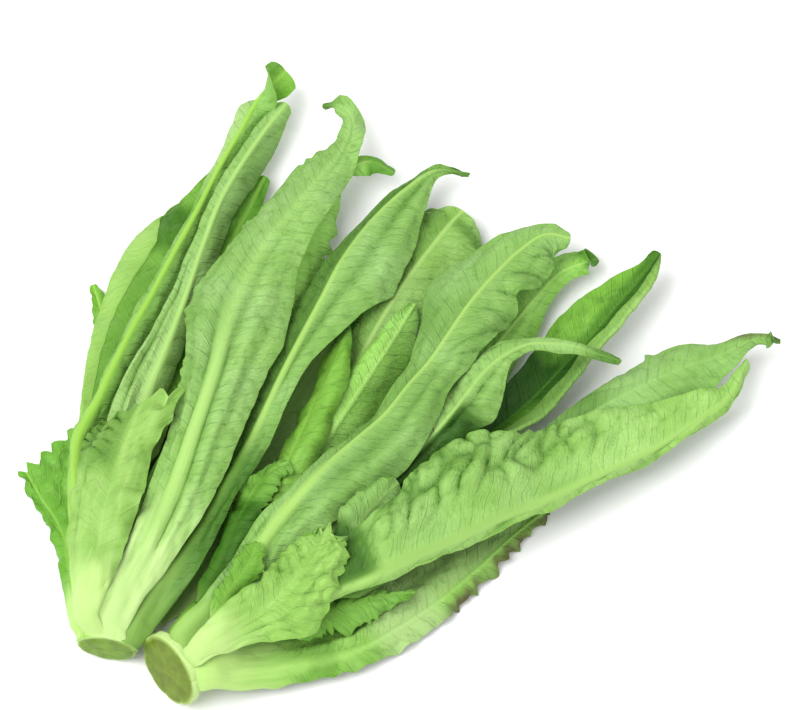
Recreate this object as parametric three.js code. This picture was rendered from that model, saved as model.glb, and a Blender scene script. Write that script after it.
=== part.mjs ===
// A bunch of a-choy: two heads of long-leaved stem lettuce lying side by side on a surface. Each head is a
// cut stem with single leaves that fan away from it, most of them showing their pale underside and its raised
// rib. Millimetres, +Z up, the surface at z = 0. Each leaf is laid over the ones listed before it.
import * as THREE from 'three';
import { mergeVertices } from 'three/addons/utils/BufferGeometryUtils.js';

// Thickness of a leaf, measured square to its face, and the room left under each leaf
const BLADE_THICKNESS = 1.0;
const STEEPEST_COSINE = 0.35;
const CLEAR_HEIGHT = 0.6;
const CLEAR_CELL = 1.5;
const POINTS_PER_CELL = 1.4;

// Cross sections for each station of a leaf, plain and toothed, and where the section has its points
const ROWS_PER_STATION = 2;
const TOOTHED_ROWS_PER_STATION = 4;
const MIDDLE_OF_BLADE = 0.55;
const RIB_COLUMN = 3;

// The rib: half its width and its height at the stem, what is left of both at the tip, the most of the
// blade's half that it takes, and the stalk's extra thickness at the stem
const RIB_HALF_WIDTH = 5;
const RIB_HEIGHT = 2.6;
const RIB_AT_TIP = 0.25;
const RIB_SHARE = 0.45;
const STALK_THICKENING = 1.1;

// The blade beside the rib: how steeply it bends down to the margin, how its margin waves from section to
// section, how its middle puckers, and how far along the leaf the waves and teeth reach their full size
const ARCH_POWER = 1.7;
const WAVE_STEP = 1.9;
const WAVE_POWER = 3;
const WAVES_FULL_AT = 0.33;
const TEETH_FULL_AT = 0.25;
const PUCKER_STEP = 2.4;

// How far a leaf that is pushed up gives way on either side of what pushes it
const STIFFNESS = 0.9;
const SETTLING_ROUNDS = 40;

// The stems: a cut disc where the outer leaves were, and the core that the leaves grow from, as radius and
// place along the stem. The first leaves of the list lie under the stems.
const STEM_FLATTENING = 0.86;
const STEM_SIDES = 20;
const CUT_EDGE = 1.2;
const CUT_DISC_LENGTH = 6;
const CORE_PROFILE = [[16.8, 9], [15.6, 15], [12.4, 26], [9, 44], [5, 62], [2, 76], [0, 78]];
const LEAVES_UNDER_STEMS = 5;

const STEMS = [
  { name: 'left_stem', foot: [-157, -181], heading: 80, radius: 17.5 },
  { name: 'right_stem', foot: [-126.5, -196.5], heading: 38, radius: 21.5 },
];

const UNDERSIDE = { color: 0x9ecf6a, roughness: 0.55, metalness: 0 };
const UPPER_SIDE = { color: 0x63a83a, roughness: 0.5, metalness: 0 };
const STEM = { color: 0xcfe39a, roughness: 0.45, metalness: 0 };

// One leaf is a list of stations from its foot to its tip: [x, y, height of the rib, blade to the left of the
// rib, blade to the right]. fall is how far the left and right margins hang below the rib at the widest
// station, or stand above it where negative. wave is the height of the waves of the margins, teeth the depth of
// their teeth, pucker the height of the puckers between rib and margin.
const LEAVES = [
  {
    name: 'left_under_outer_leaf', ribDown: true, fall: [0.5, 0.5], wave: 0.8, teeth: 1.5,
    stations: [
      [-166, -146, 3.2, 6, 6], [-165, -100, 2.4, 6, 11], [-162, -52, 2, 6, 14], [-158, -16, 2, 6, 14],
      [-159, 13, 2, 6, 10], [-166, 41, 2, 2, 3],
    ],
  },
  {
    name: 'left_under_inner_leaf', ribDown: true, fall: [0.5, 0.5], wave: 1.2,
    stations: [
      [-149, -146, 3.2, 7, 7], [-135, -88, 2.6, 16, 16], [-113, -41, 2.4, 22, 22], [-92, 13, 2.2, 22, 22],
      [-75, 49, 2, 8, 10],
    ],
  },
  {
    name: 'right_under_inner_leaf', ribDown: true, fall: [0.5, 0.5], wave: 1.2,
    stations: [
      [-105, -169, 3.2, 6, 6], [-86, -139, 2.6, 12, 12], [-54, -97, 2.4, 20, 20], [-22, -58, 2.4, 22, 22],
      [11, -17, 2.2, 20, 20], [35, 10, 2, 6, 8],
    ],
  },
  {
    name: 'right_under_outer_leaf', ribDown: true, fall: [0.5, 0.5], wave: 1.2,
    stations: [
      [-95, -182, 3.2, 6, 6], [-76, -162, 2.6, 11, 12], [-32, -124, 2.4, 20, 20], [16, -82, 2.2, 22, 20],
      [49, -58, 2, 8, 8],
    ],
  },
  {
    name: 'middle_under_leaf', ribDown: true, fall: [0.5, 0.5], wave: 1.2,
    stations: [
      [-128, -160, 3, 8, 8], [-108, -122, 2.8, 11, 13], [-82, -74, 2.6, 14, 14], [-54, -22, 2.6, 18, 18],
      [-28, 19, 2.4, 16, 16], [-12, 43, 2.4, 7, 7],
    ],
  },
  {
    name: 'left_toothed_leaf', ribDown: true, fall: [4, 2], wave: 1.5, teeth: 3.5,
    stations: [
      [-170, -164, 14, 7, 7], [-176, -130, 12, 7, 14], [-184, -104, 8, 5, 22], [-194, -86, 5, 4, 31],
      [-202, -70, 4, 3, 36],
    ],
  },
  {
    name: 'left_outer_leaf', ribDown: true, fall: [20, 6], wave: 1.5,
    stations: [
      [-163, -149, 20, 8, 8], [-162, -96, 20, 12, 8], [-152, -36, 20, 19, 10], [-138, 6, 20, 28, 10],
      [-119, 47, 20, 32, 10], [-102, 87, 18, 12, 9], [-90, 109, 16, 7, 6],
    ],
  },
  {
    name: 'left_inner_leaf', ribDown: true, fall: [-2, 2], wave: 1,
    stations: [
      [-140, -77, 18, 7, 7], [-127, -28, 16, 9, 9], [-111, 20, 14, 10, 11], [-94, 57, 12, 9, 11],
      [-81, 84, 11, 7, 7], [-73, 102, 10, 3, 3],
    ],
  },
  {
    name: 'left_long_leaf', fall: [6, 10], wave: 0.5,
    stations: [
      [-163, -158, 26, 8, 8], [-171, -117, 28, 6, 8], [-173, -68, 30, 4, 9], [-162, -41, 30, 4, 10],
      [-148, -8, 30, 4, 10], [-135, 19, 29, 4, 10], [-122, 47, 28, 4, 9], [-108, 77, 26, 4, 8],
      [-97, 102, 25, 4, 7], [-87, 122, 24, 5, 6], [-76, 144, 22, 8, 8], [-62, 161, 20, 7, 9],
    ],
  },
  {
    name: 'left_narrow_leaf', fall: [8, 14], wave: 0.5,
    stations: [
      [-152, -134, 26, 8, 8], [-146, -88, 28, 12, 8], [-138, -47, 30, 16, 7], [-124, -6, 32, 11, 7],
      [-116, 18, 32, 9, 8], [-105, 55, 30, 6, 9], [-97, 79, 28, 5, 9], [-86, 101, 26, 5, 10],
      [-75, 120, 24, 5, 9], [-62, 141, 20, 4, 4],
    ],
  },
  {
    name: 'right_stalk_leaf', fall: [8, 7], wave: 1, teeth: 2.5,
    stations: [
      [-108, -200, 15, 7, 9], [-76, -193, 15, 9, 9], [-43, -187, 14, 14, 8], [-22, -180, 13, 20, 8],
      [-1, -167, 12, 27, 9], [20, -151, 10, 30, 8], [41, -131, 8, 27, 8], [63, -108, 6, 15, 6],
      [80, -93, 5, 4, 4],
    ],
  },
  {
    name: 'right_ragged_leaf', fall: [5, 6], wave: 1.5, teeth: 2,
    stations: [[-65, -177, 26, 6, 7], [-38, -163, 24, 7, 10], [-14, -154, 22, 6, 10], [8, -149, 20, 2, 3]],
  },
  {
    name: 'middle_back_leaf', fall: [8, 12], wave: 1.2, pucker: 0.6,
    stations: [
      [-59, -89, 18, 7, 7], [-43, -59, 18, 10, 10], [-22, -12, 19, 12, 14], [-1, 28, 20, 10, 20],
      [14, 51, 19, 16, 28], [27, 70, 17, 20, 29], [34, 79, 15, 15, 20],
    ],
  },
  {
    name: 'middle_leaf', fall: [12, 12], wave: 1,
    stations: [
      [-86, -137, 20, 7, 7], [-54, -84, 21, 10, 10], [-35, -55, 22, 12, 12], [-19, -29, 23, 12, 13],
      [-3, -1, 22, 8, 11], [8, 20, 20, 3, 3],
    ],
  },
  {
    name: 'middle_bright_leaf', ribDown: true, fall: [14, 10], wave: 1.2,
    stations: [
      [-117, -172, 16, 6, 6], [-102, -154, 18, 7, 8], [-86, -128, 20, 6, 10], [-75, -108, 20, 6, 12],
      [-62, -81, 20, 6, 13], [-49, -51, 20, 8, 13], [-38, -21, 20, 6, 11], [-31, 2, 19, 3, 5],
      [-29, 12, 18, 1.2, 1.2],
    ],
  },
  {
    name: 'right_back_leaf', fall: [6, 14], wave: 1,
    stations: [
      [-11, -89, 18, 8, 8], [16, -50, 18, 12, 12], [43, -14, 18, 14, 14], [65, 15, 18, 14, 10],
      [86, 41, 16, 12, 6], [107, 51, 14, 6, 6],
    ],
  },
  {
    name: 'right_boat_leaf', ribDown: true, fall: [-9, -9], wave: 1,
    stations: [
      [0, -94, 16, 8, 8], [43, -58, 15, 12, 12], [70, -34, 15, 14, 15], [86, -16, 15, 16, 14],
      [103, 4, 16, 17, 11], [119, 24, 18, 13, 12], [132, 40, 20, 6, 8], [140, 51, 22, 3, 3],
    ],
  },
  {
    name: 'right_curled_leaf', fall: [10, 16], wave: 1.2,
    stations: [
      [-38, -157, 24, 8, 8], [0, -124, 24, 12, 14], [43, -89, 24, 14, 20], [81, -62, 24, 8, 22],
      [113, -40, 25, 13, 22], [146, -22, 25, 17, 20], [173, -11, 24, 11, 10], [192, -1, 22, 4, 3],
      [205, -2, 20, 4, 3],
    ],
  },
  {
    name: 'left_back_leaf', fall: [8, 16], wave: 1,
    stations: [
      [-140, -121, 24, 8, 8], [-113, -63, 26, 10, 11], [-84, -7, 28, 12, 12], [-59, 38, 28, 12, 12],
      [-43, 71, 26, 10, 10], [-30, 98, 24, 6, 5], [-16, 105, 22, 4, 5], [-3, 99, 20, 2, 2],
    ],
  },
  {
    name: 'middle_ragged_leaf', fall: [2, 3], wave: 1.5, teeth: 2,
    stations: [
      [-108, -163, 22, 5, 5], [-96, -136, 24, 5, 7], [-86, -110, 26, 7, 10], [-75, -90, 27, 7, 12],
      [-60, -79, 27, 4, 6],
    ],
  },
  {
    name: 'left_side_leaf', fall: [10, 16], wave: 1.4, pucker: 0.6,
    stations: [
      [-140, -167, 18, 7, 10], [-116, -130, 22, 9, 12], [-96, -96, 26, 9, 9], [-81, -67, 28, 10, 10],
      [-62, -23, 30, 14, 10], [-42, 19, 30, 12, 22], [-32, 40, 29, 10, 32], [-16, 65, 27, 6, 28],
      [3, 87, 24, 5, 15], [20, 101, 20, 3, 4], [38, 100, 18, 1.2, 1.2],
    ],
  },
  {
    name: 'right_hooked_leaf', fall: [8, 12], wave: 0.8,
    stations: [
      [-64, -144, 28, 6, 6], [-38, -116, 31, 6, 6], [-11, -92, 35, 6, 6], [11, -73, 39, 8, 9],
      [27, -57, 46, 12, 13], [35, -46, 47, 14, 17], [46, -31, 47, 12, 13], [57, -21, 46, 9, 5],
      [70, -14, 44, 4, 4], [86, -13, 41, 3, 4], [103, -16, 38, 3, 3.5], [119, -20, 35, 2, 2.5],
    ],
  },
  {
    name: 'right_main_leaf', fall: [15, 16], wave: 1.8, pucker: 0.7,
    stations: [
      [-116, -184, 30, 8, 8], [-100, -169, 31, 9, 10], [-88, -152, 33, 9, 12], [-70, -123, 36, 9, 16],
      [-54, -102, 38, 8, 24], [-38, -85, 40, 7, 27], [-22, -71, 42, 6, 28], [-8, -58, 43, 7, 27],
      [5, -41, 44, 9, 22], [16, -27, 45, 12, 18], [27, -9, 45, 18, 20], [40, 13, 43, 28, 22],
      [54, 32, 40, 22, 19], [65, 45, 37, 16, 19], [79, 56, 34, 8, 15], [92, 55, 31, 6, 8],
    ],
  },
  {
    name: 'right_side_leaf', ribDown: true, fall: [4, 2], wave: 1.2, teeth: 1.5,
    stations: [[-101, -180, 34, 5, 5], [-92, -160, 35, 6, 6], [-82, -145, 36, 8, 8], [-76, -130, 36, 4, 5]],
  },
  {
    name: 'right_gap_leaf', fall: [6, 6], wave: 1.5, teeth: 1.5,
    stations: [[-40, -150, 34, 6, 6], [-28, -128, 38, 9, 8], [-16, -111, 42, 11, 9], [-1, -96, 42, 6, 6]],
  },
  {
    name: 'right_blistered_leaf', fall: [16, 5], wave: 2.6, pucker: 1.6,
    stations: [
      [-84, -178, 32, 7, 5], [-54, -165, 34, 12, 4], [-30, -154, 36, 20, 4], [0, -141, 36, 28, 4],
      [27, -129, 36, 44, 4], [54, -115, 36, 50, 4], [81, -101, 34, 42, 4], [108, -86, 32, 37, 4],
      [135, -70, 28, 32, 4], [162, -49, 24, 17, 4], [179, -33, 20, 8, 3], [187, -14, 18, 1.2, 1.2],
    ],
  },
  {
    name: 'left_front_leaf', fall: [14, 18], wave: 1.8,
    stations: [
      [-156, -172, 29, 11, 11], [-147, -155, 32, 10, 11], [-139, -138, 34, 10, 14], [-123, -101, 38, 12, 20],
      [-111, -64, 42, 13, 24], [-100, -30, 45, 17, 25], [-91, 5, 46, 24, 31], [-75, 42, 44, 18, 22],
      [-49, 81, 38, 16, 12], [-31, 109, 30, 8, 6], [-27, 127, 26, 4, 4], [-33, 137, 24, 3, 3],
      [-42, 139, 22, 1.2, 1.2],
    ],
  },
  {
    name: 'left_crinkled_leaf', fall: [11, 7], wave: 2.6, pucker: 1.6, teeth: 2,
    stations: [
      [-168, -170, 26, 6, 7], [-163, -138, 34, 14, 14], [-157, -105, 40, 20, 18], [-147, -71, 44, 21, 17],
      [-138, -48, 44, 17, 18],
    ],
  },
  {
    name: 'right_crinkled_leaf', fall: [8, 14], wave: 2.6, pucker: 1.6, teeth: 2,
    stations: [
      [-109, -195, 31, 7, 8], [-83, -177, 38, 13, 17], [-62, -160, 42, 16, 26], [-48, -142, 43, 15, 22],
      [-39, -123, 42, 6, 8],
    ],
  },
];

// The highest that anything laid so far reaches over each small square of the surface
class Ground {
  constructor() {
    this.heights = new Map();
  }

  cell(x, y) {
    return [Math.round(x / CLEAR_CELL), Math.round(y / CLEAR_CELL)];
  }

  cover(point) {
    const [column, row] = this.cell(point.x, point.y);
    const key = `${column},${row}`;
    this.heights.set(key, Math.max(this.heights.get(key) ?? 0, point.z + CLEAR_HEIGHT));
  }

  // the height that a point must keep above, from its own square and the eight round it
  under(point) {
    const [column, row] = this.cell(point.x, point.y);
    let height = 0;
    for (let i = -1; i <= 1; i += 1) {
      for (let j = -1; j <= 1; j += 1) {
        height = Math.max(height, this.heights.get(`${column + i},${row + j}`) ?? 0);
      }
    }
    return height;
  }
}

// Points all over a triangle, closer together than the squares of the ground
function* pointsOver(a, b, c) {
  const longest = Math.max(a.distanceTo(b), b.distanceTo(c), c.distanceTo(a));
  const steps = Math.max(1, Math.ceil(longest * POINTS_PER_CELL / CLEAR_CELL));
  for (let i = 0; i <= steps; i += 1) {
    for (let j = 0; j <= steps - i; j += 1) {
      yield new THREE.Vector3()
        .addScaledVector(a, 1 - (i + j) / steps)
        .addScaledVector(b, i / steps)
        .addScaledVector(c, j / steps);
    }
  }
}

// The two triangles of each square of a grid of rows and columns
function* trianglesOf(rows, columns) {
  for (let i = 0; i < rows - 1; i += 1) {
    for (let j = 0; j < columns - 1; j += 1) {
      yield [[i, j], [i, j + 1], [i + 1, j]];
      yield [[i, j + 1], [i + 1, j + 1], [i + 1, j]];
    }
  }
}

// What is left of the rib this far along a leaf
function slimming(along) {
  return 1 - (1 - RIB_AT_TIP) * along;
}

// The middle surface of a leaf as designed, as rows of points from the left margin to the right one. The rows
// are spread evenly over the stations, so a short tip gets as many as a long blade.
function designLeaf(leaf) {
  const rib = new THREE.CatmullRomCurve3(leaf.stations.map((s) => new THREE.Vector3(s[0], s[1], s[2])));
  const widths = new THREE.CatmullRomCurve3(leaf.stations.map((s) => new THREE.Vector3(s[3], s[4], 0)));
  const widest = [3, 4].map((side) => Math.max(...leaf.stations.map((station) => station[side])));
  const perStation = leaf.teeth ? TOOTHED_ROWS_PER_STATION : ROWS_PER_STATION;
  const count = perStation * (leaf.stations.length - 1) + 1;
  const rows = [];
  for (let i = 0; i < count; i += 1) {
    const along = i / (count - 1);
    const middle = rib.getPoint(along);
    const heading = rib.getTangent(along).setZ(0).normalize();
    const sideways = new THREE.Vector3(-heading.y, heading.x, 0);
    const width = widths.getPoint(along);
    const ribHalf = Math.min(RIB_HALF_WIDTH * slimming(along), RIB_SHARE * Math.min(width.x, width.y));
    const tooth = (leaf.teeth ?? 0) * (i % 2 - 0.5) * Math.min(1, along / TEETH_FULL_AT);
    const phase = leaf.stations[0][0];
    const wave = leaf.wave * Math.sin(i * WAVE_STEP + phase) * Math.min(1, along / WAVES_FULL_AT);
    const pucker = (leaf.pucker ?? 0) * Math.sin(i * PUCKER_STEP);
    const left = Math.max(width.x + tooth, ribHalf + 1);
    const right = Math.max(width.y + tooth, ribHalf + 1);
    const offsets = [
      left, ribHalf + MIDDLE_OF_BLADE * (left - ribHalf), ribHalf, 0,
      -ribHalf, -ribHalf - MIDDLE_OF_BLADE * (right - ribHalf), -right,
    ];
    rows.push(offsets.map((offset, j) => {
      const side = offset >= 0 ? 0 : 1;
      const drop = leaf.fall[side] * (Math.abs(offset) / widest[side]) ** ARCH_POWER;
      const outward = Math.abs(offset) / (side === 0 ? left : right);
      const ruffle = (side === 0 ? wave : -wave) * outward ** WAVE_POWER;
      const puckered = j === 1 || j === offsets.length - 2 ? pucker : 0;
      return middle.clone().addScaledVector(sideways, offset).setZ(middle.z - drop + ruffle + puckered);
    }));
  }
  return rows;
}

// Half the height of the blade at each point, greater where it slopes, and with the stalk and the rib added
function thicknessOf(rows, leaf) {
  return rows.map((row, i) => row.map((point, j) => {
    const next = rows[Math.min(i + 1, rows.length - 1)][j];
    const last = rows[Math.max(i - 1, 0)][j];
    const one = row[Math.min(j + 1, row.length - 1)];
    const other = row[Math.max(j - 1, 0)];
    const normal = next.clone().sub(last).cross(one.clone().sub(other)).normalize();
    const cosine = Math.max(STEEPEST_COSINE, Math.abs(normal.z));
    const half = BLADE_THICKNESS / 2 / cosine;
    const along = i / (rows.length - 1);
    const stalk = Math.abs(j - RIB_COLUMN) <= 1 ? STALK_THICKENING * (1 - along) ** 2 : 0;
    const ridge = j === RIB_COLUMN ? RIB_HEIGHT * slimming(along) : 0;
    return { up: half + (leaf.ribDown ? stalk : ridge), down: half + (leaf.ribDown ? ridge : stalk) };
  }));
}

// Raises a leaf until it clears what lies under it, spreading each raise along the leaf
function layLeaf(leaf, ground) {
  const rows = designLeaf(leaf);
  const thickness = thicknessOf(rows, leaf);
  const needed = rows.map((row) => row.map(() => 0));
  for (const corners of trianglesOf(rows.length, rows[0].length)) {
    const undersides = corners.map(([i, j]) => rows[i][j].clone().setZ(rows[i][j].z - thickness[i][j].down));
    for (const point of pointsOver(...undersides)) {
      const short = ground.under(point) - point.z;
      for (const [i, j] of corners) {
        needed[i][j] = Math.max(needed[i][j], short);
      }
    }
  }
  let raised = needed;
  for (let round = 0; round < SETTLING_ROUNDS; round += 1) {
    raised = raised.map((row, i) => row.map((value, j) => {
      const around = [raised[i - 1]?.[j], raised[i + 1]?.[j], row[j - 1], row[j + 1]];
      const present = around.filter((height) => height !== undefined);
      const mean = present.reduce((sum, height) => sum + height, 0) / present.length;
      return Math.max(needed[i][j], STIFFNESS * mean);
    }));
  }
  rows.forEach((row, i) => row.forEach((point, j) => point.setZ(point.z + raised[i][j])));
  return { rows, thickness };
}

// A closed solid from the rows: the upper face, the lower face and the margin between them
function leafSolid({ rows, thickness }) {
  const columns = rows[0].length;
  const count = rows.length * columns;
  const vertices = [];
  for (const side of ['up', 'down']) {
    const sign = side === 'up' ? 1 : -1;
    rows.forEach((row, i) => row.forEach((point, j) => {
      vertices.push(point.x, point.y, point.z + sign * thickness[i][j][side]);
    }));
  }
  const index = [];
  for (const [a, b, c] of trianglesOf(rows.length, columns)) {
    const [p, q, r] = [a, b, c].map(([i, j]) => i * columns + j);
    index.push(p, q, r, count + p, count + r, count + q);
  }
  const rim = [];
  for (let j = 0; j < columns - 1; j += 1) rim.push(j);
  for (let i = 0; i < rows.length - 1; i += 1) rim.push(i * columns + columns - 1);
  for (let j = columns - 1; j > 0; j -= 1) rim.push((rows.length - 1) * columns + j);
  for (let i = rows.length - 1; i > 0; i -= 1) rim.push(i * columns);
  rim.forEach((p, k) => {
    const q = rim[(k + 1) % rim.length];
    index.push(count + p, count + q, q, count + p, q, p);
  });
  const geometry = new THREE.BufferGeometry();
  geometry.setAttribute('position', new THREE.Float32BufferAttribute(vertices, 3));
  geometry.setIndex(index);
  return geometry;
}

// A stem turned round its axis, laid along its heading and pressed a little flat, with a flat side underneath
function stemSolid(stem) {
  const disc = [[0, 0], [stem.radius - CUT_EDGE, 0], [stem.radius, CUT_EDGE], [stem.radius, CUT_DISC_LENGTH]];
  const profile = [...disc, ...CORE_PROFILE].map(([radius, along]) => new THREE.Vector2(radius, along));
  const turned = new THREE.LatheGeometry(profile, STEM_SIDES);
  turned.deleteAttribute('normal');
  turned.deleteAttribute('uv');
  const geometry = mergeVertices(turned);
  const halfSide = Math.PI / STEM_SIDES;
  geometry.rotateY(halfSide);
  geometry.rotateZ(-Math.PI / 2);
  geometry.scale(1, 1, STEM_FLATTENING);
  geometry.rotateZ(THREE.MathUtils.degToRad(stem.heading));
  geometry.translate(stem.foot[0], stem.foot[1], stem.radius * STEM_FLATTENING * Math.cos(halfSide));
  return geometry;
}

// Marks on the ground what a solid covers
function coverWith(geometry, ground) {
  const place = geometry.getAttribute('position');
  const index = geometry.getIndex();
  const corner = (k) => new THREE.Vector3().fromBufferAttribute(place, index.getX(k));
  for (let k = 0; k < index.count; k += 3) {
    for (const point of pointsOver(corner(k), corner(k + 1), corner(k + 2))) {
      ground.cover(point);
    }
  }
}

const bunch = new THREE.Group();
const ground = new Ground();

function add(name, geometry, finish) {
  const mesh = new THREE.Mesh(geometry, new THREE.MeshStandardMaterial(finish));
  mesh.name = name;
  bunch.add(mesh);
  coverWith(geometry, ground);
}

LEAVES.forEach((leaf, place) => {
  if (place === LEAVES_UNDER_STEMS) {
    STEMS.forEach((stem) => add(stem.name, stemSolid(stem), STEM));
  }
  add(leaf.name, leafSolid(layLeaf(leaf, ground)), leaf.ribDown ? UPPER_SIDE : UNDERSIDE);
});

// The origin goes to the middle of the bunch, on the surface it lies on
const middle = new THREE.Box3().setFromObject(bunch).getCenter(new THREE.Vector3());
bunch.position.set(-middle.x, -middle.y, 0);

export default bunch;
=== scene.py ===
# The finish of a bunch of a-choy: two heads of long-leaved stem lettuce lying side by side. Every leaf of
# the frame is made again as a thin two-sided sheet with its rib, veins, puckers, folds and toothed margin, and
# both stems with their cut faces. A leaf keeps the place, the outline and the heights of its node.
import math

import bpy
import numpy as np
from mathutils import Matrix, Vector
from mathutils.bvhtree import BVHTree


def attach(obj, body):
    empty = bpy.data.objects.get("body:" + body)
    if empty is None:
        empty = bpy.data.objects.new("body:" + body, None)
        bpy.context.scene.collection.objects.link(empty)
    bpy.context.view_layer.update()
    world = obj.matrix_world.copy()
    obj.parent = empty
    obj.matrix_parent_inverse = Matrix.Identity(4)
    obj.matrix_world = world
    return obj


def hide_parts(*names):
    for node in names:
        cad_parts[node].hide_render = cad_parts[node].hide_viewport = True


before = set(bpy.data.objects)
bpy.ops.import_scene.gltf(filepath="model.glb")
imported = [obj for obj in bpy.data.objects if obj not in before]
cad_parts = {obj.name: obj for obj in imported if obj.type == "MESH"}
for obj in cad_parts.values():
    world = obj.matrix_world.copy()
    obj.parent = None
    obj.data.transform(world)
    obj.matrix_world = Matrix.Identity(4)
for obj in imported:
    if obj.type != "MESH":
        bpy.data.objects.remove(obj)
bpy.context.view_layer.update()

bl_info = {
    "name": "A-choy Bunch",
    "version": (1, 0, 0),
    "blender": (4, 5, 0),
    "location": "3D View > Sidebar > A-choy",
    "description": "Makes the leaves and cut stems of a bunch of a-choy and the stage they lie on",
    "category": "Object",
}

MM = 0.001

# How the solids of the frame are laid out, in millimetres: the cross sections for each station of a leaf,
# plain and toothed, the rib, the stalk and where the teeth begin
ROWS_PER_STATION = 2
TOOTHED_ROWS_PER_STATION = 4
MIDDLE_OF_BLADE = 0.55
RIB_COLUMN = 3
RIB_HALF_WIDTH = 5.0
RIB_HEIGHT = 2.6
RIB_AT_TIP = 0.25
RIB_SHARE = 0.45
STALK_THICKENING = 1.1
TEETH_FULL_AT = 0.25
SAME_POINT = 0.05

# The fine sheets, in millimetres: the step between rows, the columns on the rib, the blade and a folded margin,
# the lowest and highest points, how the stalk runs on, the room left to other leaves, half the thickness of a
# leaf's own solid, the points a route is measured at, and the thickness of the rim beside the blade's
ROW_STEP = 2.0
TOOTHED_ROW_STEP = 1.2
RIB_COLUMNS = 4
COLUMN_STEP = 1.9
FEWEST_COLUMNS, MOST_COLUMNS = 6, 30
FOOT_TAPER = 14.0
FOLD_ARC_COLUMNS = 4
FOLD_BACK_COLUMNS = 4
FOLD_RADIUS = 1.1
LOWEST = 0.15
HIGHEST = 59.1
SOFT_TOP = 2.4
SHARP_LEAF_ANGLE = math.radians(55)
ROOT_STEP = 1.5
CLEAR_OF_NEIGHBOUR = 0.5
OWN_SOLID_HALF = 3.4
DENSE_ROUTE = 1200
RIM_SHARE_OF_SHEET = 0.55

# The stems as the frame has them: foot, heading in degrees, radius, and how they narrow behind the cut
STEM_FLATTENING = 0.86
STEM_SIDES = 20
CUT_DISC_LENGTH = 6.0
CORE_PROFILE = [(16.8, 9), (15.6, 15), (12.4, 26), (9, 44), (5, 62), (2, 76), (0.05, 78)]
CORE_LENGTH = CORE_PROFILE[-1][1]
FINE_STEM_SIDES = 168
BASES_ROUND_CUT = 9
STEM_FACE_FORWARD = 0.55
SHARP_STEM_ANGLE = math.radians(60)
STEMS = {
    "left_stem": {"foot": (-157, -181), "heading": 80, "radius": 17.5, "seed": 3,
                  "core": 0.92, "lean": 0.0, "root_end": 0.4, "root_sink": 0.6, "root_kept": 0.5},
    "right_stem": {"foot": (-126.5, -196.5), "heading": 38, "radius": 21.5, "seed": 8,
                   "core": 1.0, "lean": 0.3, "root_end": 9.0, "root_sink": 1.6, "root_kept": 0.0},
}

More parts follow.
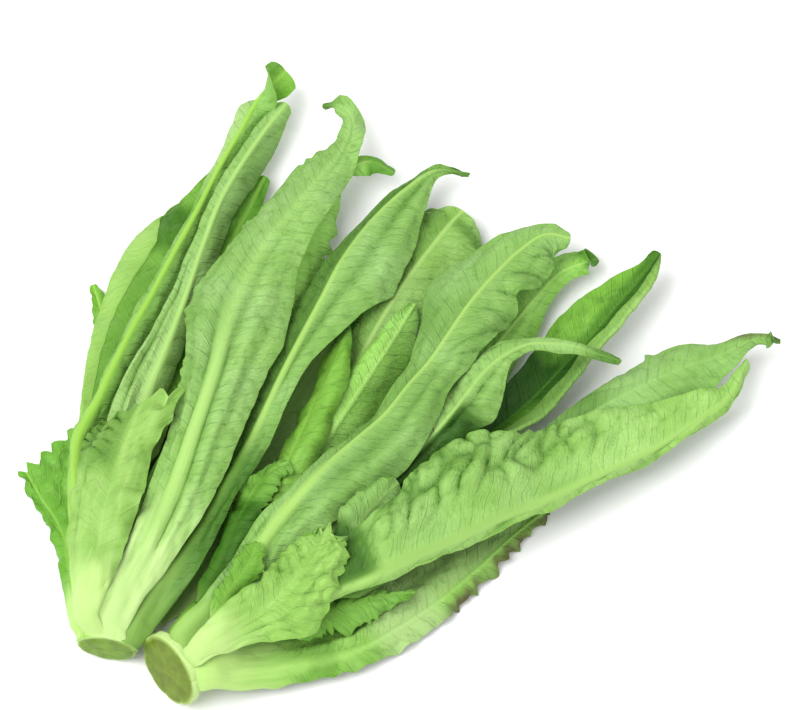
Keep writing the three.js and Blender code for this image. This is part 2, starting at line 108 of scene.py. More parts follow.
# Every leaf as its stations from foot to tip: x, y, height, blade left of the rib, blade right of it, all in
# millimetres. Side 1 is the left one seen from the foot, -1 the right one and 0 both. Places along a leaf are
# shares from 0 at the foot to 1 at the tip. The other entries, where a leaf has them:
# stem, step: the stem that its stalk runs into, and the distance between the rows of its sheet
# looks, upper_looks: the finishes of its underside and of its upper side
# rib, rib_rise, rib_fades: half the rib's width at the foot, at two fifths and at the tip, how high it
# stands, and the places between which it sinks; rib_down says that it is underneath and the upper side shows
# neck, sleek: how far the stalk's pale colour reaches, and how much of it there is at least further on
# teeth, tooth_step, toothed_side, teeth_from: the teeth's size and spacing, the side that has them in full,
# and the places where they begin and are full
# jagged: side, height, spacing, from, to. wider: side, from, to, by how much, how softly
# blisters: height, spacing, slant, side, from, to, how far from the rib
# frill: height and spacing of the margin's waves
# pleats: side, place between rib and margin, width, height, from, to
# folds: side, and how far the margin is folded over at each place. twist: from, to, degrees
# round_tip, slanted_tip, ragged_tip: how far its corners are drawn back, its slant on either side, its teeth
# the lists of painted shade, painted light and browned areas: side, from, to, how strong, how softly
# the line of painted shade along the rib: its half width and its strength
LEFT_HEAD = [
    {
        "name": "left_toothed_leaf", "rib_down": True, "teeth": 3.5, "stem": "left_stem", "looks": "palest",
        "rib": (5, 1.4, 0.7), "blisters": [(1.6, 11, 0.8, 0, 0.2, 1.0)], "frill": (1.6, 21),
        "toothed_side": 0,
        "rib_rise": 0.5,
        "ragged_tip": (7, 9), "round_tip": 0.0, "slanted_tip": (11, 0), "neck": 40,
        "stations": [(-170, -164, 14, 7, 7), (-176, -130, 12, 7, 14), (-184, -104, 8, 5, 22),
                     (-194, -86, 5, 4, 31),
                     (-202, -70, 4, 3, 36)],
    },
    {
        "name": "left_outer_leaf", "rib_down": True, "stem": "left_stem", "looks": "palest",
        "blisters": [(1.2, 14, 1.0, 1, 0.7, 0.95)],
        "folds": [(1, [(0.0, 1.0), (0.25, 3.0), (0.45, 6.5), (0.57, 10.0), (0.66, 13.0), (0.7, 12.5),
                       (0.735, 6.0), (0.755, 0.4),
                       (0.8, 0.2)])],
        "painted_shade_areas": [(1, 0.2, 0.66, 0.55), (-1, 0.2, 0.66, 0.3), (1, 0.68, 0.79, 1.1, 0.03),
                   (-1, 0.68, 0.79, 1.1, 0.03),
                   (0, 0.82, 0.9, 0.3)],
        "painted_light_areas": [(0, 0.93, 1.1, 0.6)],
        "upper_looks": "bright",
        "stations": [(-163, -149, 20, 8, 8), (-162, -96, 20, 12, 8), (-152, -36, 20, 19, 10),
                     (-138, 6, 20, 28, 10),
                     (-119, 47, 20, 32, 10), (-102, 87, 18, 12, 9), (-90, 109, 16, 7, 6)],
    },
    {
        "name": "left_inner_leaf", "rib_down": True, "looks": "palest", "painted_shade_areas": [(0, 0.6, 1.1, 0.45)],
        "stations": [(-140, -77, 18, 7, 7), (-127, -28, 16, 9, 9), (-111, 20, 14, 10, 11),
                     (-94, 57, 12, 9, 11),
                     (-81, 84, 11, 7, 7), (-73, 102, 10, 3, 3)],
    },
    {
        "name": "left_long_leaf", "stem": "left_stem", "looks": "sunny", "rib": (6, 2.0, 1.2),
        "pleats": [(1, 0.6, 0.2, 0.8, 0.1, 0.9), (-1, 0.75, 0.2, -1.2, 0.1, 0.9)],
        "twist": (0.87, 0.97, -155),
        "wider": [(0, 0.95, 1.1, 2.0, 0.02)],
        "painted_light_areas": [(1, 0.7, 0.9, 0.8)], "upper_looks": "bright",
        "painted_shade_areas": [(-1, 0.1, 0.8, 0.3), (0, 0.0, 0.7, 0.1)],
        "stations": [(-163, -158, 26, 8, 8), (-171, -117, 28, 6, 8), (-173, -68, 30, 4, 9),
                     (-162, -41, 30, 4, 10),
                     (-148, -8, 30, 4, 10), (-135, 19, 29, 4, 10), (-122, 47, 28, 4, 9),
                     (-108, 77, 26, 4, 8),
                     (-97, 102, 25, 4, 7), (-87, 122, 24, 5, 6), (-76, 144, 22, 8, 8),
                     (-62, 161, 20, 7, 9)],
    },
    {
        "name": "left_narrow_leaf", "looks": "pale", "rib": (5, 2.0, 1.2),
        "pleats": [(1, 0.45, 0.1, 2.6, 0.1, 0.5), (1, 0.68, 0.08, -2.4, 0.1, 0.5),
                   (1, 0.9, 0.1, 2.4, 0.05, 0.5)],
        "painted_shade_areas": [(-1, 0.5, 0.95, 0.3)], "painted_light_areas": [(1, 0.05, 0.45, 0.45)],
        "stations": [(-152, -134, 26, 8, 8), (-146, -88, 28, 12, 8), (-138, -47, 30, 16, 7),
                     (-124, -6, 32, 11, 7),
                     (-116, 18, 32, 9, 8), (-105, 55, 30, 6, 9), (-97, 79, 28, 5, 9), (-86, 101, 26, 5, 10),
                     (-75, 120, 24, 5, 9), (-62, 141, 20, 4, 4)],
    },
    {
        "name": "left_back_leaf", "looks": "lush", "rib": (5, 2.0, 0.8), "neck": 30,
        "painted_shade_areas": [(0, 0.83, 1.1, 0.9), (0, 0.0, 0.3, 0.5)],
        "jagged": [(-1, 5.0, 11, 0.4, 0.72)],
        "stations": [(-140, -121, 24, 8, 8), (-113, -63, 26, 10, 11), (-84, -7, 28, 12, 12),
                     (-59, 38, 28, 12, 12),
                     (-43, 71, 26, 10, 10), (-30, 98, 24, 6, 5), (-16, 105, 22, 4, 5), (-3, 99, 20, 2, 2)],
    },
    {
        "name": "left_side_leaf", "stem": "left_stem", "looks": "fair", "rib": (6, 2.0, 1),
        "pleats": [(-1, 0.3, 0.12, -2.8, 0.4, 0.88), (-1, 0.62, 0.15, 1.6, 0.45, 0.9),
                   (1, 0.5, 0.3, -1.5, 0.3, 0.9)],
        "painted_shade_areas": [(1, 0.3, 0.88, 0.75), (0, -0.1, 0.3, 0.5), (0, 0.09, 0.3, 0.55, 0.04),
                   (0, 0.93, 1.1, 0.8)], "neck": 45,
        "rib_fades": (0.8, 0.95), "rib_rise": 0.75,
        "stations": [(-140, -167, 18, 7, 10), (-116, -130, 22, 9, 12), (-96, -96, 26, 9, 9),
                     (-81, -67, 28, 10, 10),
                     (-62, -23, 30, 14, 10), (-42, 19, 30, 12, 22), (-32, 40, 29, 10, 32),
                     (-16, 65, 27, 6, 28),
                     (3, 87, 24, 5, 15), (20, 101, 20, 3, 4), (38, 100, 18, 1.2, 1.2)],
    },
    {
        "name": "left_front_leaf", "stem": "left_stem", "looks": "pale", "rib": (9, 4.6, 1.6), "neck": 130,
        "rib_fades": (0.32, 0.58), "jagged": [(1, 3.2, 8, 0.36, 0.75)],
        "wider": [(-1, 0.66, 0.9, 4.0, 0.06), (-1, 0.9, 1.1, 3.5, 0.05), (1, 0.97, 1.1, 2.5, 0.02)],
        "pleats": [(1, 0.3, 0.1, -2.4, 0.25, 0.55), (1, 0.58, 0.1, 2.0, 0.25, 0.5),
                   (1, 0.86, 0.1, -1.4, 0.35, 0.55),
                   (-1, 0.26, 0.08, -2.8, 0.15, 0.55), (-1, 0.5, 0.1, 2.0, 0.2, 0.5),
                   (-1, 0.72, 0.08, -1.4, 0.3, 0.55),
                   (-1, 0.15, 0.12, -1.8, 0.72, 0.85)],
        "painted_shade_areas": [(1, 0.35, 0.8, 0.22), (0, 0.95, 1.1, 1.0)],
        "stations": [(-156, -172, 29, 11, 11), (-147, -155, 32, 10, 11), (-139, -138, 34, 10, 14),
                     (-123, -101, 38, 12, 20), (-111, -64, 42, 13, 24), (-100, -30, 45, 17, 25),
                     (-91, 5, 46, 24, 31),
                     (-75, 42, 44, 18, 22), (-49, 81, 38, 16, 12), (-31, 109, 30, 8, 6),
                     (-27, 127, 26, 4, 4),
                     (-33, 137, 24, 3, 3), (-42, 139, 22, 1.2, 1.2)],
    },
    {
        "name": "left_crinkled_leaf", "teeth": 2, "stem": "left_stem", "looks": "palest",
        "rib": (4, 1.0, 0.6),
        "blisters": [(4.0, 10, 0.9, 1, 0.66, 1.1, 0.15)], "frill": (2.2, 27), "toothed_side": 0,
        "neck": 66, "rib_rise": 0.0,
        "sleek": 0.4,
        "pleats": [(1, 0.45, 0.12, 1.4, 0.1, 0.7), (1, 0.8, 0.06, -2.0, 0.1, 0.6),
                   (-1, 0.5, 0.14, 1.4, 0.1, 0.8)],
        "slanted_tip": (16, -15), "ragged_tip": (8, 12), "round_tip": 0.0,
        "jagged": [(1, 3.5, 9, 0.5, 1.1)],
        "painted_shade_areas": [(1, 0.6, 1.1, 0.5), (0, 0.2, 1.1, 0.18)],
        "stations": [(-168, -170, 26, 6, 7), (-163, -138, 34, 14, 14), (-157, -105, 40, 20, 18),
                     (-147, -71, 44, 21, 17), (-138, -48, 44, 17, 18)],
    },
]

MIDDLE_LEAVES = [
    {
        "name": "middle_back_leaf", "looks": "fresh", "rib": (5, 2.2, 1.2), "frill": (1.4, 24),
        "rib_rise": 0.55,
        "painted_shade_areas": [(1, 0.3, 0.9, 0.45), (-1, 0.84, 0.93, 0.7, 0.03)],
        "blisters": [(1.4, 17, 0.8, 0, 0.6, 1.0, 0.3)],
        "stations": [(-59, -89, 18, 7, 7), (-43, -59, 18, 10, 10), (-22, -12, 19, 12, 14),
                     (-1, 28, 20, 10, 20),
                     (14, 51, 19, 16, 28), (27, 70, 17, 20, 29), (34, 79, 15, 15, 20)],
    },
    {
        "name": "middle_leaf", "looks": "lush", "rib": (5, 1.8, 0.9), "rib_rise": 0.45,
        "painted_shade_areas": [(-1, 0.3, 1.0, 0.3)],
        "stations": [(-86, -137, 20, 7, 7), (-54, -84, 21, 10, 10), (-35, -55, 22, 12, 12),
                     (-19, -29, 23, 12, 13),
                     (-3, -1, 22, 8, 11), (8, 20, 20, 3, 3)],
    },
    {
        "name": "middle_bright_leaf", "rib_down": True, "stem": "right_stem", "looks": "bright",
        "rib": (4, 1.3, 0.7),
        "blisters": [(0.9, 19, 0.9, 0, 0.2, 0.9)], "frill": (1.0, 31), "painted_shade_areas": [(0, -0.1, 0.4, 0.8)],
        "neck": 20,
        "rib_rise": 0.25,
        "stations": [(-117, -172, 16, 6, 6), (-102, -154, 18, 7, 8), (-86, -128, 20, 6, 10),
                     (-75, -108, 20, 6, 12),
                     (-62, -81, 20, 6, 13), (-49, -51, 20, 8, 13), (-38, -21, 20, 6, 11),
                     (-31, 2, 19, 3, 5),
                     (-29, 12, 18, 1.2, 1.2)],
    },
    {
        "name": "middle_ragged_leaf", "teeth": 2, "looks": "bright", "rib": (3, 1.2, 0.8),
        "blisters": [(1.8, 15, 0.9, 0, 0.5, 1.0)], "frill": (3.0, 23),
        "painted_shade_areas": [(0, -0.1, 0.6, 1.1), (0, -0.1, 1.1, 0.3)], "neck": 20,
        "rib_rise": 0.3, "jagged": [(1, 3.0, 8, 0.5, 1.1), (-1, 3.0, 7, 0.5, 1.1)],
        "teeth_from": (0.5, 0.7),
        "stations": [(-108, -163, 22, 5, 5), (-96, -136, 24, 5, 7), (-86, -110, 26, 7, 10),
                     (-75, -90, 27, 7, 12),
                     (-60, -79, 27, 4, 6)],
    },
]

RIGHT_HEAD = [
    {
        "name": "right_stalk_leaf", "teeth": 2.6, "stem": "right_stem", "looks": "flap",
        "rib": (8, 2.0, 0.8), "neck": 85,
        "pleats": [(1, 0.35, 0.1, 1.8, 0.25, 0.7), (1, 0.6, 0.1, -1.6, 0.2, 0.7)], "toothed_side": -1,
        "painted_light_areas": [(0, 0.44, 0.62, 0.9), (1, 0.62, 0.95, 0.6)], "rib_rise": 0.5,
        "worn": [(-1, 0.62, 1.1, 0.9)], "teeth_from": (0.62, 0.74), "tooth_step": 11,
        "painted_shade_areas": [(0, 0.235, 0.3, 0.32, 0.015)],
        "jagged": [(-1, 2.4, 13, 0.55, 1.1)], "wider": [(1, -0.1, 0.3, 7.0, 0.08)],
        "stations": [(-108, -200, 15, 7, 9), (-76, -193, 15, 9, 9), (-43, -187, 14, 14, 8),
                     (-22, -180, 13, 20, 8),
                     (-1, -167, 12, 27, 9), (20, -151, 10, 30, 8), (41, -131, 8, 27, 8),
                     (63, -108, 6, 15, 6),
                     (80, -93, 5, 4, 4)],
    },
    {
        "name": "right_ragged_leaf", "teeth": 2, "looks": "bright", "rib": (3, 1.3, 0.8),
        "frill": (2.6, 19), "neck": 20,
        "blisters": [(2.0, 11, 0.9, 0, 0.2, 1.0)], "rib_rise": 0.1, "painted_shade_areas": [(0, -0.1, 1.1, 0.15)],
        "jagged": [(1, 5.0, 11, 0.2, 1.1), (-1, 5.0, 9, 0.2, 1.1)],
        "stations": [(-65, -177, 26, 6, 7), (-38, -163, 24, 7, 10), (-14, -154, 22, 6, 10),
                     (8, -149, 20, 2, 3)],
    },
    {
        "name": "right_back_leaf", "looks": "lush", "rib": (5, 1.5, 0.8), "twist": (0.93, 0.97, 150),
        "rib_rise": 0.6,
        "pleats": [(-1, 0.4, 0.15, 1.4, 0.2, 0.9)], "painted_shade_areas": [(0, 0.95, 1.1, 0.9)],
        "stations": [(-11, -89, 18, 8, 8), (16, -50, 18, 12, 12), (43, -14, 18, 14, 14),
                     (65, 15, 18, 14, 10),
                     (86, 41, 16, 12, 6), (107, 51, 14, 6, 6)],
    },
    {
        "name": "right_boat_leaf", "rib_down": True, "looks": "fresh", "rib": (5, 1.3, 0.7),
        "painted_shade_areas": [(-1, 0.3, 1.1, 0.9), (1, -0.1, 0.42, 1.5), (0, -0.1, 0.5, 0.5), (0, 0.9, 1.1, 0.4)],
        "blisters": [(1.0, 17, 1.0, 1, 0.3, 0.9)], "upper_looks": "bright", "painted_rib_shade": (7, 0.9),
        "rib_rise": 0.0,
        "folds": [(-1, [(0.0, 7.0), (0.35, 9.0), (0.5, 8.0), (0.7, 6.5), (0.85, 4.5), (0.95, 2.0),
                        (1.0, 0.8)])],
        "stations": [(0, -94, 16, 8, 8), (43, -58, 15, 12, 12), (70, -34, 15, 14, 15),
                     (86, -16, 15, 16, 14),
                     (103, 4, 16, 17, 11), (119, 24, 18, 13, 12), (132, 40, 20, 6, 8), (140, 51, 22, 3, 3)],
    },
    {
        "name": "right_curled_leaf", "looks": "fair", "rib": (5, 1.4, 0.8), "twist": (0.95, 0.98, 150),
        "rib_rise": 0.15,
        "wider": [(0, 0.95, 1.1, 2.5, 0.02), (1, 0.604, 0.614, 6.0, 0.006)], "step": 1.5,
        "pleats": [(-1, 0.4, 0.15, 0.7, 0.5, 0.95)], "frill": (1.0, 41),
        "worn": [(0, 0.97, 1.1, 0.5), (1, 0.8, 0.93, 0.8)],
        "painted_shade_areas": [(1, 0.25, 0.5, 0.6), (0, 0.96, 1.1, 0.4), (0, -0.1, 0.1, 1.0)],
        "stations": [(-38, -157, 24, 8, 8), (0, -124, 24, 12, 14), (43, -89, 24, 14, 20),
                     (81, -62, 24, 8, 22),
                     (113, -40, 25, 13, 22), (146, -22, 25, 17, 20), (173, -11, 24, 11, 10),
                     (192, -1, 22, 4, 3),
                     (205, -2, 20, 4, 3)],
    },
    {
        "name": "right_hooked_leaf", "looks": "pale", "rib": (4, 1.5, 0.8),
        "pleats": [(1, 0.5, 0.2, 1.8, 0.3, 0.7), (-1, 0.35, 0.12, -2.2, 0.25, 0.65)],
        "blisters": [(1.2, 12, 0.9, 0, 0.3, 0.65)], "painted_shade_areas": [(0, 0.9, 1.1, 0.9), (-1, 0.1, 0.42, 1.7)],
        "rib_rise": 0.5,
        "stations": [(-64, -144, 28, 6, 6), (-38, -116, 31, 6, 6), (-11, -92, 35, 6, 6),
                     (11, -73, 39, 8, 9),
                     (27, -57, 46, 12, 13), (35, -46, 47, 14, 17), (46, -31, 47, 12, 13),
                     (57, -21, 46, 9, 5),
                     (70, -14, 44, 4, 4), (86, -13, 41, 3, 4), (103, -16, 38, 3, 3.5),
                     (119, -20, 35, 2, 2.5)],
    },
    {
        "name": "right_main_leaf", "stem": "right_stem", "looks": "fair", "rib": (7, 2.0, 1),
        "frill": (1.2, 47), "neck": 60,
        "pleats": [(-1, 0.3, 0.12, -2.4, 0.2, 0.6), (-1, 0.6, 0.15, 2.4, 0.2, 0.7),
                   (1, 0.5, 0.2, 1.6, 0.5, 0.9)],
        "painted_shade_areas": [(-1, 0.3, 0.6, 0.2), (0, -0.1, 0.12, 0.2), (1, 0.3, 0.75, 0.3)],
        "blisters": [(3.0, 17, 1.0, -1, 0.66, 0.95, 0.2)],
        "wider": [(-1, 0.77, 0.8, -4.5, 0.015)],
        "stations": [(-116, -184, 30, 8, 8), (-100, -169, 31, 9, 10), (-88, -152, 33, 9, 12),
                     (-70, -123, 36, 9, 16),
                     (-54, -102, 38, 8, 24), (-38, -85, 40, 7, 27), (-22, -71, 42, 6, 28),
                     (-8, -58, 43, 7, 27),
                     (5, -41, 44, 9, 22), (16, -27, 45, 12, 18), (27, -9, 45, 18, 20), (40, 13, 43, 28, 22),
                     (54, 32, 40, 22, 19), (65, 45, 37, 16, 19), (79, 56, 34, 8, 15), (92, 55, 31, 6, 8)],
    },
    {
        "name": "right_side_leaf", "rib_down": True, "teeth": 1.5, "looks": "bright",
        "rib": (3, 1.0, 0.7), "neck": 25,
        "painted_shade_areas": [(0, -0.1, 1.1, 0.3)], "rib_rise": 0.2,
        "jagged": [(1, 3.5, 8, 0.2, 1.1), (-1, 3.5, 7, 0.4, 1.1)],
        "blisters": [(1.4, 10, 0.9, 0, 0.2, 1.0)],
        "stations": [(-101, -180, 34, 5, 5), (-92, -160, 35, 6, 6), (-82, -145, 36, 8, 8),
                     (-76, -130, 36, 4, 5)],
    },
    {
        "name": "right_gap_leaf", "teeth": 1.5, "looks": "fair", "rib": (3, 1.2, 0.7), "frill": (2.6, 23),
        "neck": 10,
        "rib_rise": 0.3, "jagged": [(1, 3.0, 9, 0.3, 1.1), (-1, 3.0, 9, 0.3, 1.1)],
        "blisters": [(1.8, 15, 0.9, 0, 0.1, 1.0)], "painted_shade_areas": [(0, -0.1, 0.45, 1.1), (0, 0.5, 1.1, 0.1)],
        "stations": [(-40, -150, 34, 6, 6), (-28, -128, 38, 9, 8), (-16, -111, 42, 11, 9),
                     (-1, -96, 42, 6, 6)],
    },
    {
        "name": "right_blistered_leaf", "looks": "light", "round_tip": 0.1, "rib": (4.2, 2.0, 1.2),
        "step": 1.5, "neck": 50,
        "blisters": [(4.4, 15.5, 0.75, 1, 0.27, 0.66, 0.22), (1.3, 8, 0.9, 1, 0.27, 0.64, 0.4)],
        "rib_fades": (0.8, 0.95),
        "painted_shade_areas": [(1, -0.1, 0.235, 1.6, 0.02), (1, 0.25, 0.62, 0.25)],
        "stations": [(-84, -178, 32, 7, 5), (-54, -165, 34, 12, 4), (-30, -154, 36, 20, 4),
                     (0, -141, 36, 28, 4),
                     (27, -129, 36, 44, 4), (54, -115, 36, 50, 4), (81, -101, 34, 42, 4),
                     (108, -86, 32, 37, 4),
                     (135, -70, 28, 32, 4), (162, -49, 24, 17, 4), (179, -33, 20, 8, 3),
                     (187, -14, 18, 1.2, 1.2)],
    },
    {
        "name": "right_crinkled_leaf", "teeth": 4, "tooth_step": 9, "stem": "right_stem",
        "looks": "palest", "rib": (5, 1.4, 0.8),
        "blisters": [(1.6, 10, 0.8, 0, 0.5, 1.0)], "frill": (1.6, 21), "toothed_side": -1, "neck": 60,
        "rib_rise": 0.1, "sleek": 0.25,
        "pleats": [(1, 0.3, 0.07, -0.9, 0.1, 0.85), (1, 0.6, 0.06, -1.1, 0.1, 0.85),
                   (1, 0.8, 0.06, 0.8, 0.1, 0.8),
                   (-1, 0.2, 0.05, -1.0, 0.1, 0.9), (-1, 0.36, 0.05, 0.8, 0.1, 0.9),
                   (-1, 0.5, 0.05, -1.1, 0.1, 0.9),
                   (-1, 0.64, 0.05, 0.8, 0.15, 0.9), (-1, 0.78, 0.05, -1.1, 0.2, 0.9)],
        "ragged_tip": (8, 9), "round_tip": 0.2, "teeth_from": (0.45, 0.65), "painted_shade_areas": [(1, 0.3, 0.7, 0.15)],
        "wider": [(-1, 0.0, 0.42, -5.0, 0.12)], "jagged": [(-1, 6.0, 10, 0.5, 1.1), (1, 3.0, 9, 0.5, 1.1)],
        "stations": [(-109, -195, 31, 7, 8), (-83, -177, 38, 13, 17), (-62, -160, 42, 16, 26),
                     (-48, -142, 43, 15, 22),
                     (-39, -123, 42, 6, 8)],
    },
]

UNDER_LEAVES = [
    {
        "name": "left_under_outer_leaf", "rib_down": True, "teeth": 1.5, "looks": "bright",
        "rib": (4, 1.8, 0.8),
        "stations": [(-166, -146, 3.2, 6, 6), (-165, -100, 2.4, 6, 11), (-162, -52, 2, 6, 14),
                     (-158, -16, 2, 6, 14),
                     (-159, 13, 2, 6, 10), (-166, 41, 2, 2, 3)],
    },
    {
        "name": "left_under_inner_leaf", "rib_down": True, "looks": "dark", "rib": (5, 2, 1),
        "stations": [(-149, -146, 3.2, 7, 7), (-135, -88, 2.6, 16, 16), (-113, -41, 2.4, 22, 22),
                     (-92, 13, 2.2, 22, 22),
                     (-75, 49, 2, 8, 10)],
    },
    {
        "name": "right_under_inner_leaf", "rib_down": True, "looks": "dark", "rib": (5, 2, 1),
        "stations": [(-105, -169, 3.2, 6, 6), (-86, -139, 2.6, 12, 12), (-54, -97, 2.4, 20, 20),
                     (-22, -58, 2.4, 22, 22),
                     (11, -17, 2.2, 20, 20), (35, 10, 2, 6, 8)],
    },
    {
        "name": "right_under_outer_leaf", "rib_down": True, "looks": "dark", "rib": (5, 2, 1),
        "stations": [(-95, -182, 3.2, 6, 6), (-76, -162, 2.6, 11, 12), (-32, -124, 2.4, 20, 20),
                     (16, -82, 2.2, 22, 20),
                     (49, -58, 2, 8, 8)],
    },
    {
        "name": "middle_under_leaf", "rib_down": True, "looks": "bright", "upper_looks": "palest",
        "rib": (5, 2, 1),
        "painted_light_areas": [(0, -0.1, 1.1, 0.5)],
        "stations": [(-128, -160, 3, 8, 8), (-108, -122, 2.8, 11, 13), (-82, -74, 2.6, 14, 14),
                     (-54, -22, 2.6, 18, 18),
                     (-28, 19, 2.4, 16, 16), (-12, 43, 2.4, 7, 7)],
    },
]

# The finishes of a leaf's two faces: the colours of its blade, of its rib and of its stalk near the stem
UNDERSIDES = {
    "palest": ((0.31, 0.544, 0.122), (0.36, 0.595, 0.155), (0.45, 0.65, 0.21)),
    "pale": ((0.296, 0.512, 0.144), (0.35, 0.575, 0.155), (0.51, 0.71, 0.27)),
    "fair": ((0.26, 0.468, 0.124), (0.33, 0.545, 0.13), (0.32, 0.536, 0.125)),
    "fresh": ((0.28, 0.496, 0.116), (0.375, 0.58, 0.165), (0.352, 0.576, 0.13)),
    "light": ((0.335, 0.575, 0.15), (0.32, 0.54, 0.13), (0.352, 0.576, 0.13)),
    "flap": ((0.25, 0.49, 0.09), (0.31, 0.55, 0.12), (0.43, 0.64, 0.19)),
    "sunny": ((0.25, 0.48, 0.10), (0.30, 0.56, 0.075), (0.32, 0.55, 0.10)),
    "lush": ((0.33, 0.64, 0.13), (0.40, 0.68, 0.16), (0.42, 0.68, 0.16)),
    "bright": ((0.216, 0.464, 0.072), (0.288, 0.544, 0.088), (0.384, 0.624, 0.144)),
    # The last finish is painted shade: a darkened copy for leaves that lie in shade underneath the heads
    "dark": ((0.104, 0.24, 0.04), (0.176, 0.352, 0.056), (0.24, 0.416, 0.08)),
}
UPPER_SIDES = {
    "palest": ((0.176, 0.432, 0.048), (0.272, 0.528, 0.08), (0.4, 0.64, 0.16)),
    "pale": ((0.136, 0.368, 0.032), (0.232, 0.48, 0.064), (0.368, 0.608, 0.144)),
    "fair": ((0.104, 0.304, 0.024), (0.2, 0.432, 0.056), (0.304, 0.528, 0.104)),
    "fresh": ((0.136, 0.36, 0.028), (0.224, 0.464, 0.056), (0.32, 0.544, 0.096)),
    "bright": ((0.216, 0.464, 0.06), (0.288, 0.544, 0.08), (0.368, 0.608, 0.128)),
    # The last finish is painted shade: a darkened copy for leaves that lie in shade underneath the heads
    "dark": ((0.04, 0.12, 0.012), (0.08, 0.2, 0.024), (0.176, 0.336, 0.056)),
}
for alike, one in (("light", "fresh"), ("flap", "fresh"), ("sunny", "fair"), ("lush", "palest")):
    UPPER_SIDES[alike] = UPPER_SIDES[one]

# Roughness and depth of the bumps, for each face of a leaf
UNDERSIDE_SKIN = 0.52, 0.0003
UPPER_SKIN = 0.42, 0.00022

# What the blade's colour is multiplied by in patches, on side veins, in bloom and in painted shade, and the
# colours of painted light and of browned parts
DEEPER = (0.58, 0.70, 0.42)
VEINED = (1.16, 1.08, 1.35)
PALER = (1.25, 1.14, 1.6)
SHADED = (0.30, 0.42, 0.22)
PAINTED_LIGHT_COLOUR = (0.37, 0.56, 0.20)
BROWNED = (0.085, 0.05, 0.03)

# The stage, in metres: the middle of the picture, the floor and the lights
PICTURE_MIDDLE = (-0.000393, 0.023522, 0.0)
SENSOR_WIDTH = 36.0
FLOOR_HALF = 4.0
FLOOR_LEVEL = -0.0002
LIGHT_SIZE = 2.4
KEY_PLACE = (-1.45, -0.55, 3.15)
FILL_PLACE = (2.6, -1.6, 2.6)


def smooth(value, low, high):
    """Rises softly from 0 at low to 1 at high."""
    share = np.clip((value - low) / (high - low), 0, 1)
    return share * share * (3 - 2 * share)


def between(share, start, end, soft):
    """1 from start to end and 0 elsewhere, with soft ends."""
    return smooth(share, start - soft, start + soft) * (1 - smooth(share, end - soft, end + soft))


def saw(beat, peak):
    """A saw line that rises from 0 to 1 up to the peak of each beat and falls after it."""
    part = beat - np.floor(beat)
    return np.where(part < peak, part / peak, (1 - part) / (1 - peak))


def drift(along, across, seed):
    """A smooth wandering value between about -1 and 1, the same each time for the same seed."""
    rng = np.random.default_rng(seed)
    total = np.zeros(np.broadcast(along, across).shape)
    for _ in range(5):
        angle, phase = rng.uniform(0, 2 * math.pi, 2)
        rate = rng.uniform(0.6, 1.7)
        place = along * math.cos(angle) + across * math.sin(angle)
        total = total + np.sin(rate * place * 2 * math.pi + phase)
    return total / 3


def curve_through(points, share):
    """A centripetal Catmull-Rom curve through the points, read at each share from 0 to 1."""
    points = np.asarray(points, float)
    last = len(points) - 1
    place = np.clip(np.asarray(share, float), 0, 1) * last
    first = np.minimum(np.floor(place).astype(int), last - 1)
    weight = (place - first)[:, None]
    padded = np.vstack([2 * points[0] - points[1], points, 2 * points[-1] - points[-2]])
    p0, p1, p2, p3 = (padded[first + k] for k in range(4))
    pairs = (p0, p1), (p1, p2), (p2, p3)
    d0, d1, d2 = (np.sum((b - a) ** 2, axis=1, keepdims=True) ** 0.25 for a, b in pairs)
    d1 = np.where(d1 < 1e-4, 1.0, d1)
    d0 = np.where(d0 < 1e-4, d1, d0)
    d2 = np.where(d2 < 1e-4, d1, d2)
    start = ((p1 - p0) / d0 - (p2 - p0) / (d0 + d1) + (p2 - p1) / d1) * d1
    end = ((p2 - p1) / d1 - (p3 - p1) / (d1 + d2) + (p3 - p2) / d2) * d1
    square = -3 * p1 + 3 * p2 - 2 * start - end
    cube = 2 * p1 - 2 * p2 + start + end
    return p1 + start * weight + square * weight ** 2 + cube * weight ** 3


def smooth_rows(values, share):
    """Rows of values joined by smooth curves, read at each share from the first row to the last."""
    last = len(values) - 1
    place = np.clip(share, 0, 1) * last
    first = np.minimum(np.floor(place).astype(int), last - 1)
    weight = (place - first)[:, None]
    padded = np.vstack([2 * values[0] - values[1], values, 2 * values[-1] - values[-2]])
    a, b, c, d = (padded[first + k] for k in range(4))
    return b + 0.5 * weight * (c - a + weight * (2 * a - 5 * b + 4 * c - d + weight * (3 * (b - c) + d - a)))


def smooth_across(knots, heights, places):
    """Heights read between each row's own knots, which fall from left to right, as one smooth curve a row."""
    span = np.diff(knots, axis=1)
    slope = np.diff(heights, axis=1) / span
    product = slope[:, :-1] * slope[:, 1:]
    inner = np.where(product > 0, 2 * product / (slope[:, :-1] + slope[:, 1:] + 1e-12), 0)
    slopes = np.hstack([slope[:, :1], inner, slope[:, -1:]])
    result = np.empty_like(places)
    for row in range(len(knots)):
        cell = np.clip(np.searchsorted(-knots[row], -places[row], side="right") - 1, 0, knots.shape[1] - 2)
        width = span[row, cell]
        t = (places[row] - knots[row, cell]) / width
        inside = np.clip(t, 0, 1)
        z0, z1 = heights[row, cell], heights[row, cell + 1]
        m0, m1 = slopes[row, cell] * width, slopes[row, cell + 1] * width
        square, cube = inside ** 2, inside ** 3
        bend = (2 * cube - 3 * square + 1) * z0 + (cube - 2 * square + inside) * m0
        bend += (3 * square - 2 * cube) * z1 + (cube - square) * m1
        result[row] = bend + (t - inside) * np.where(t > 1, m1, m0)
    return result


def headings(route, share):
    """The level direction of a route at each share of it."""
    step = 1e-4
    further = curve_through(route, np.minimum(share + step, 1))
    level = (further - curve_through(route, np.maximum(share - step, 0)))[:, :2]
    return level / np.linalg.norm(level, axis=1, keepdims=True)


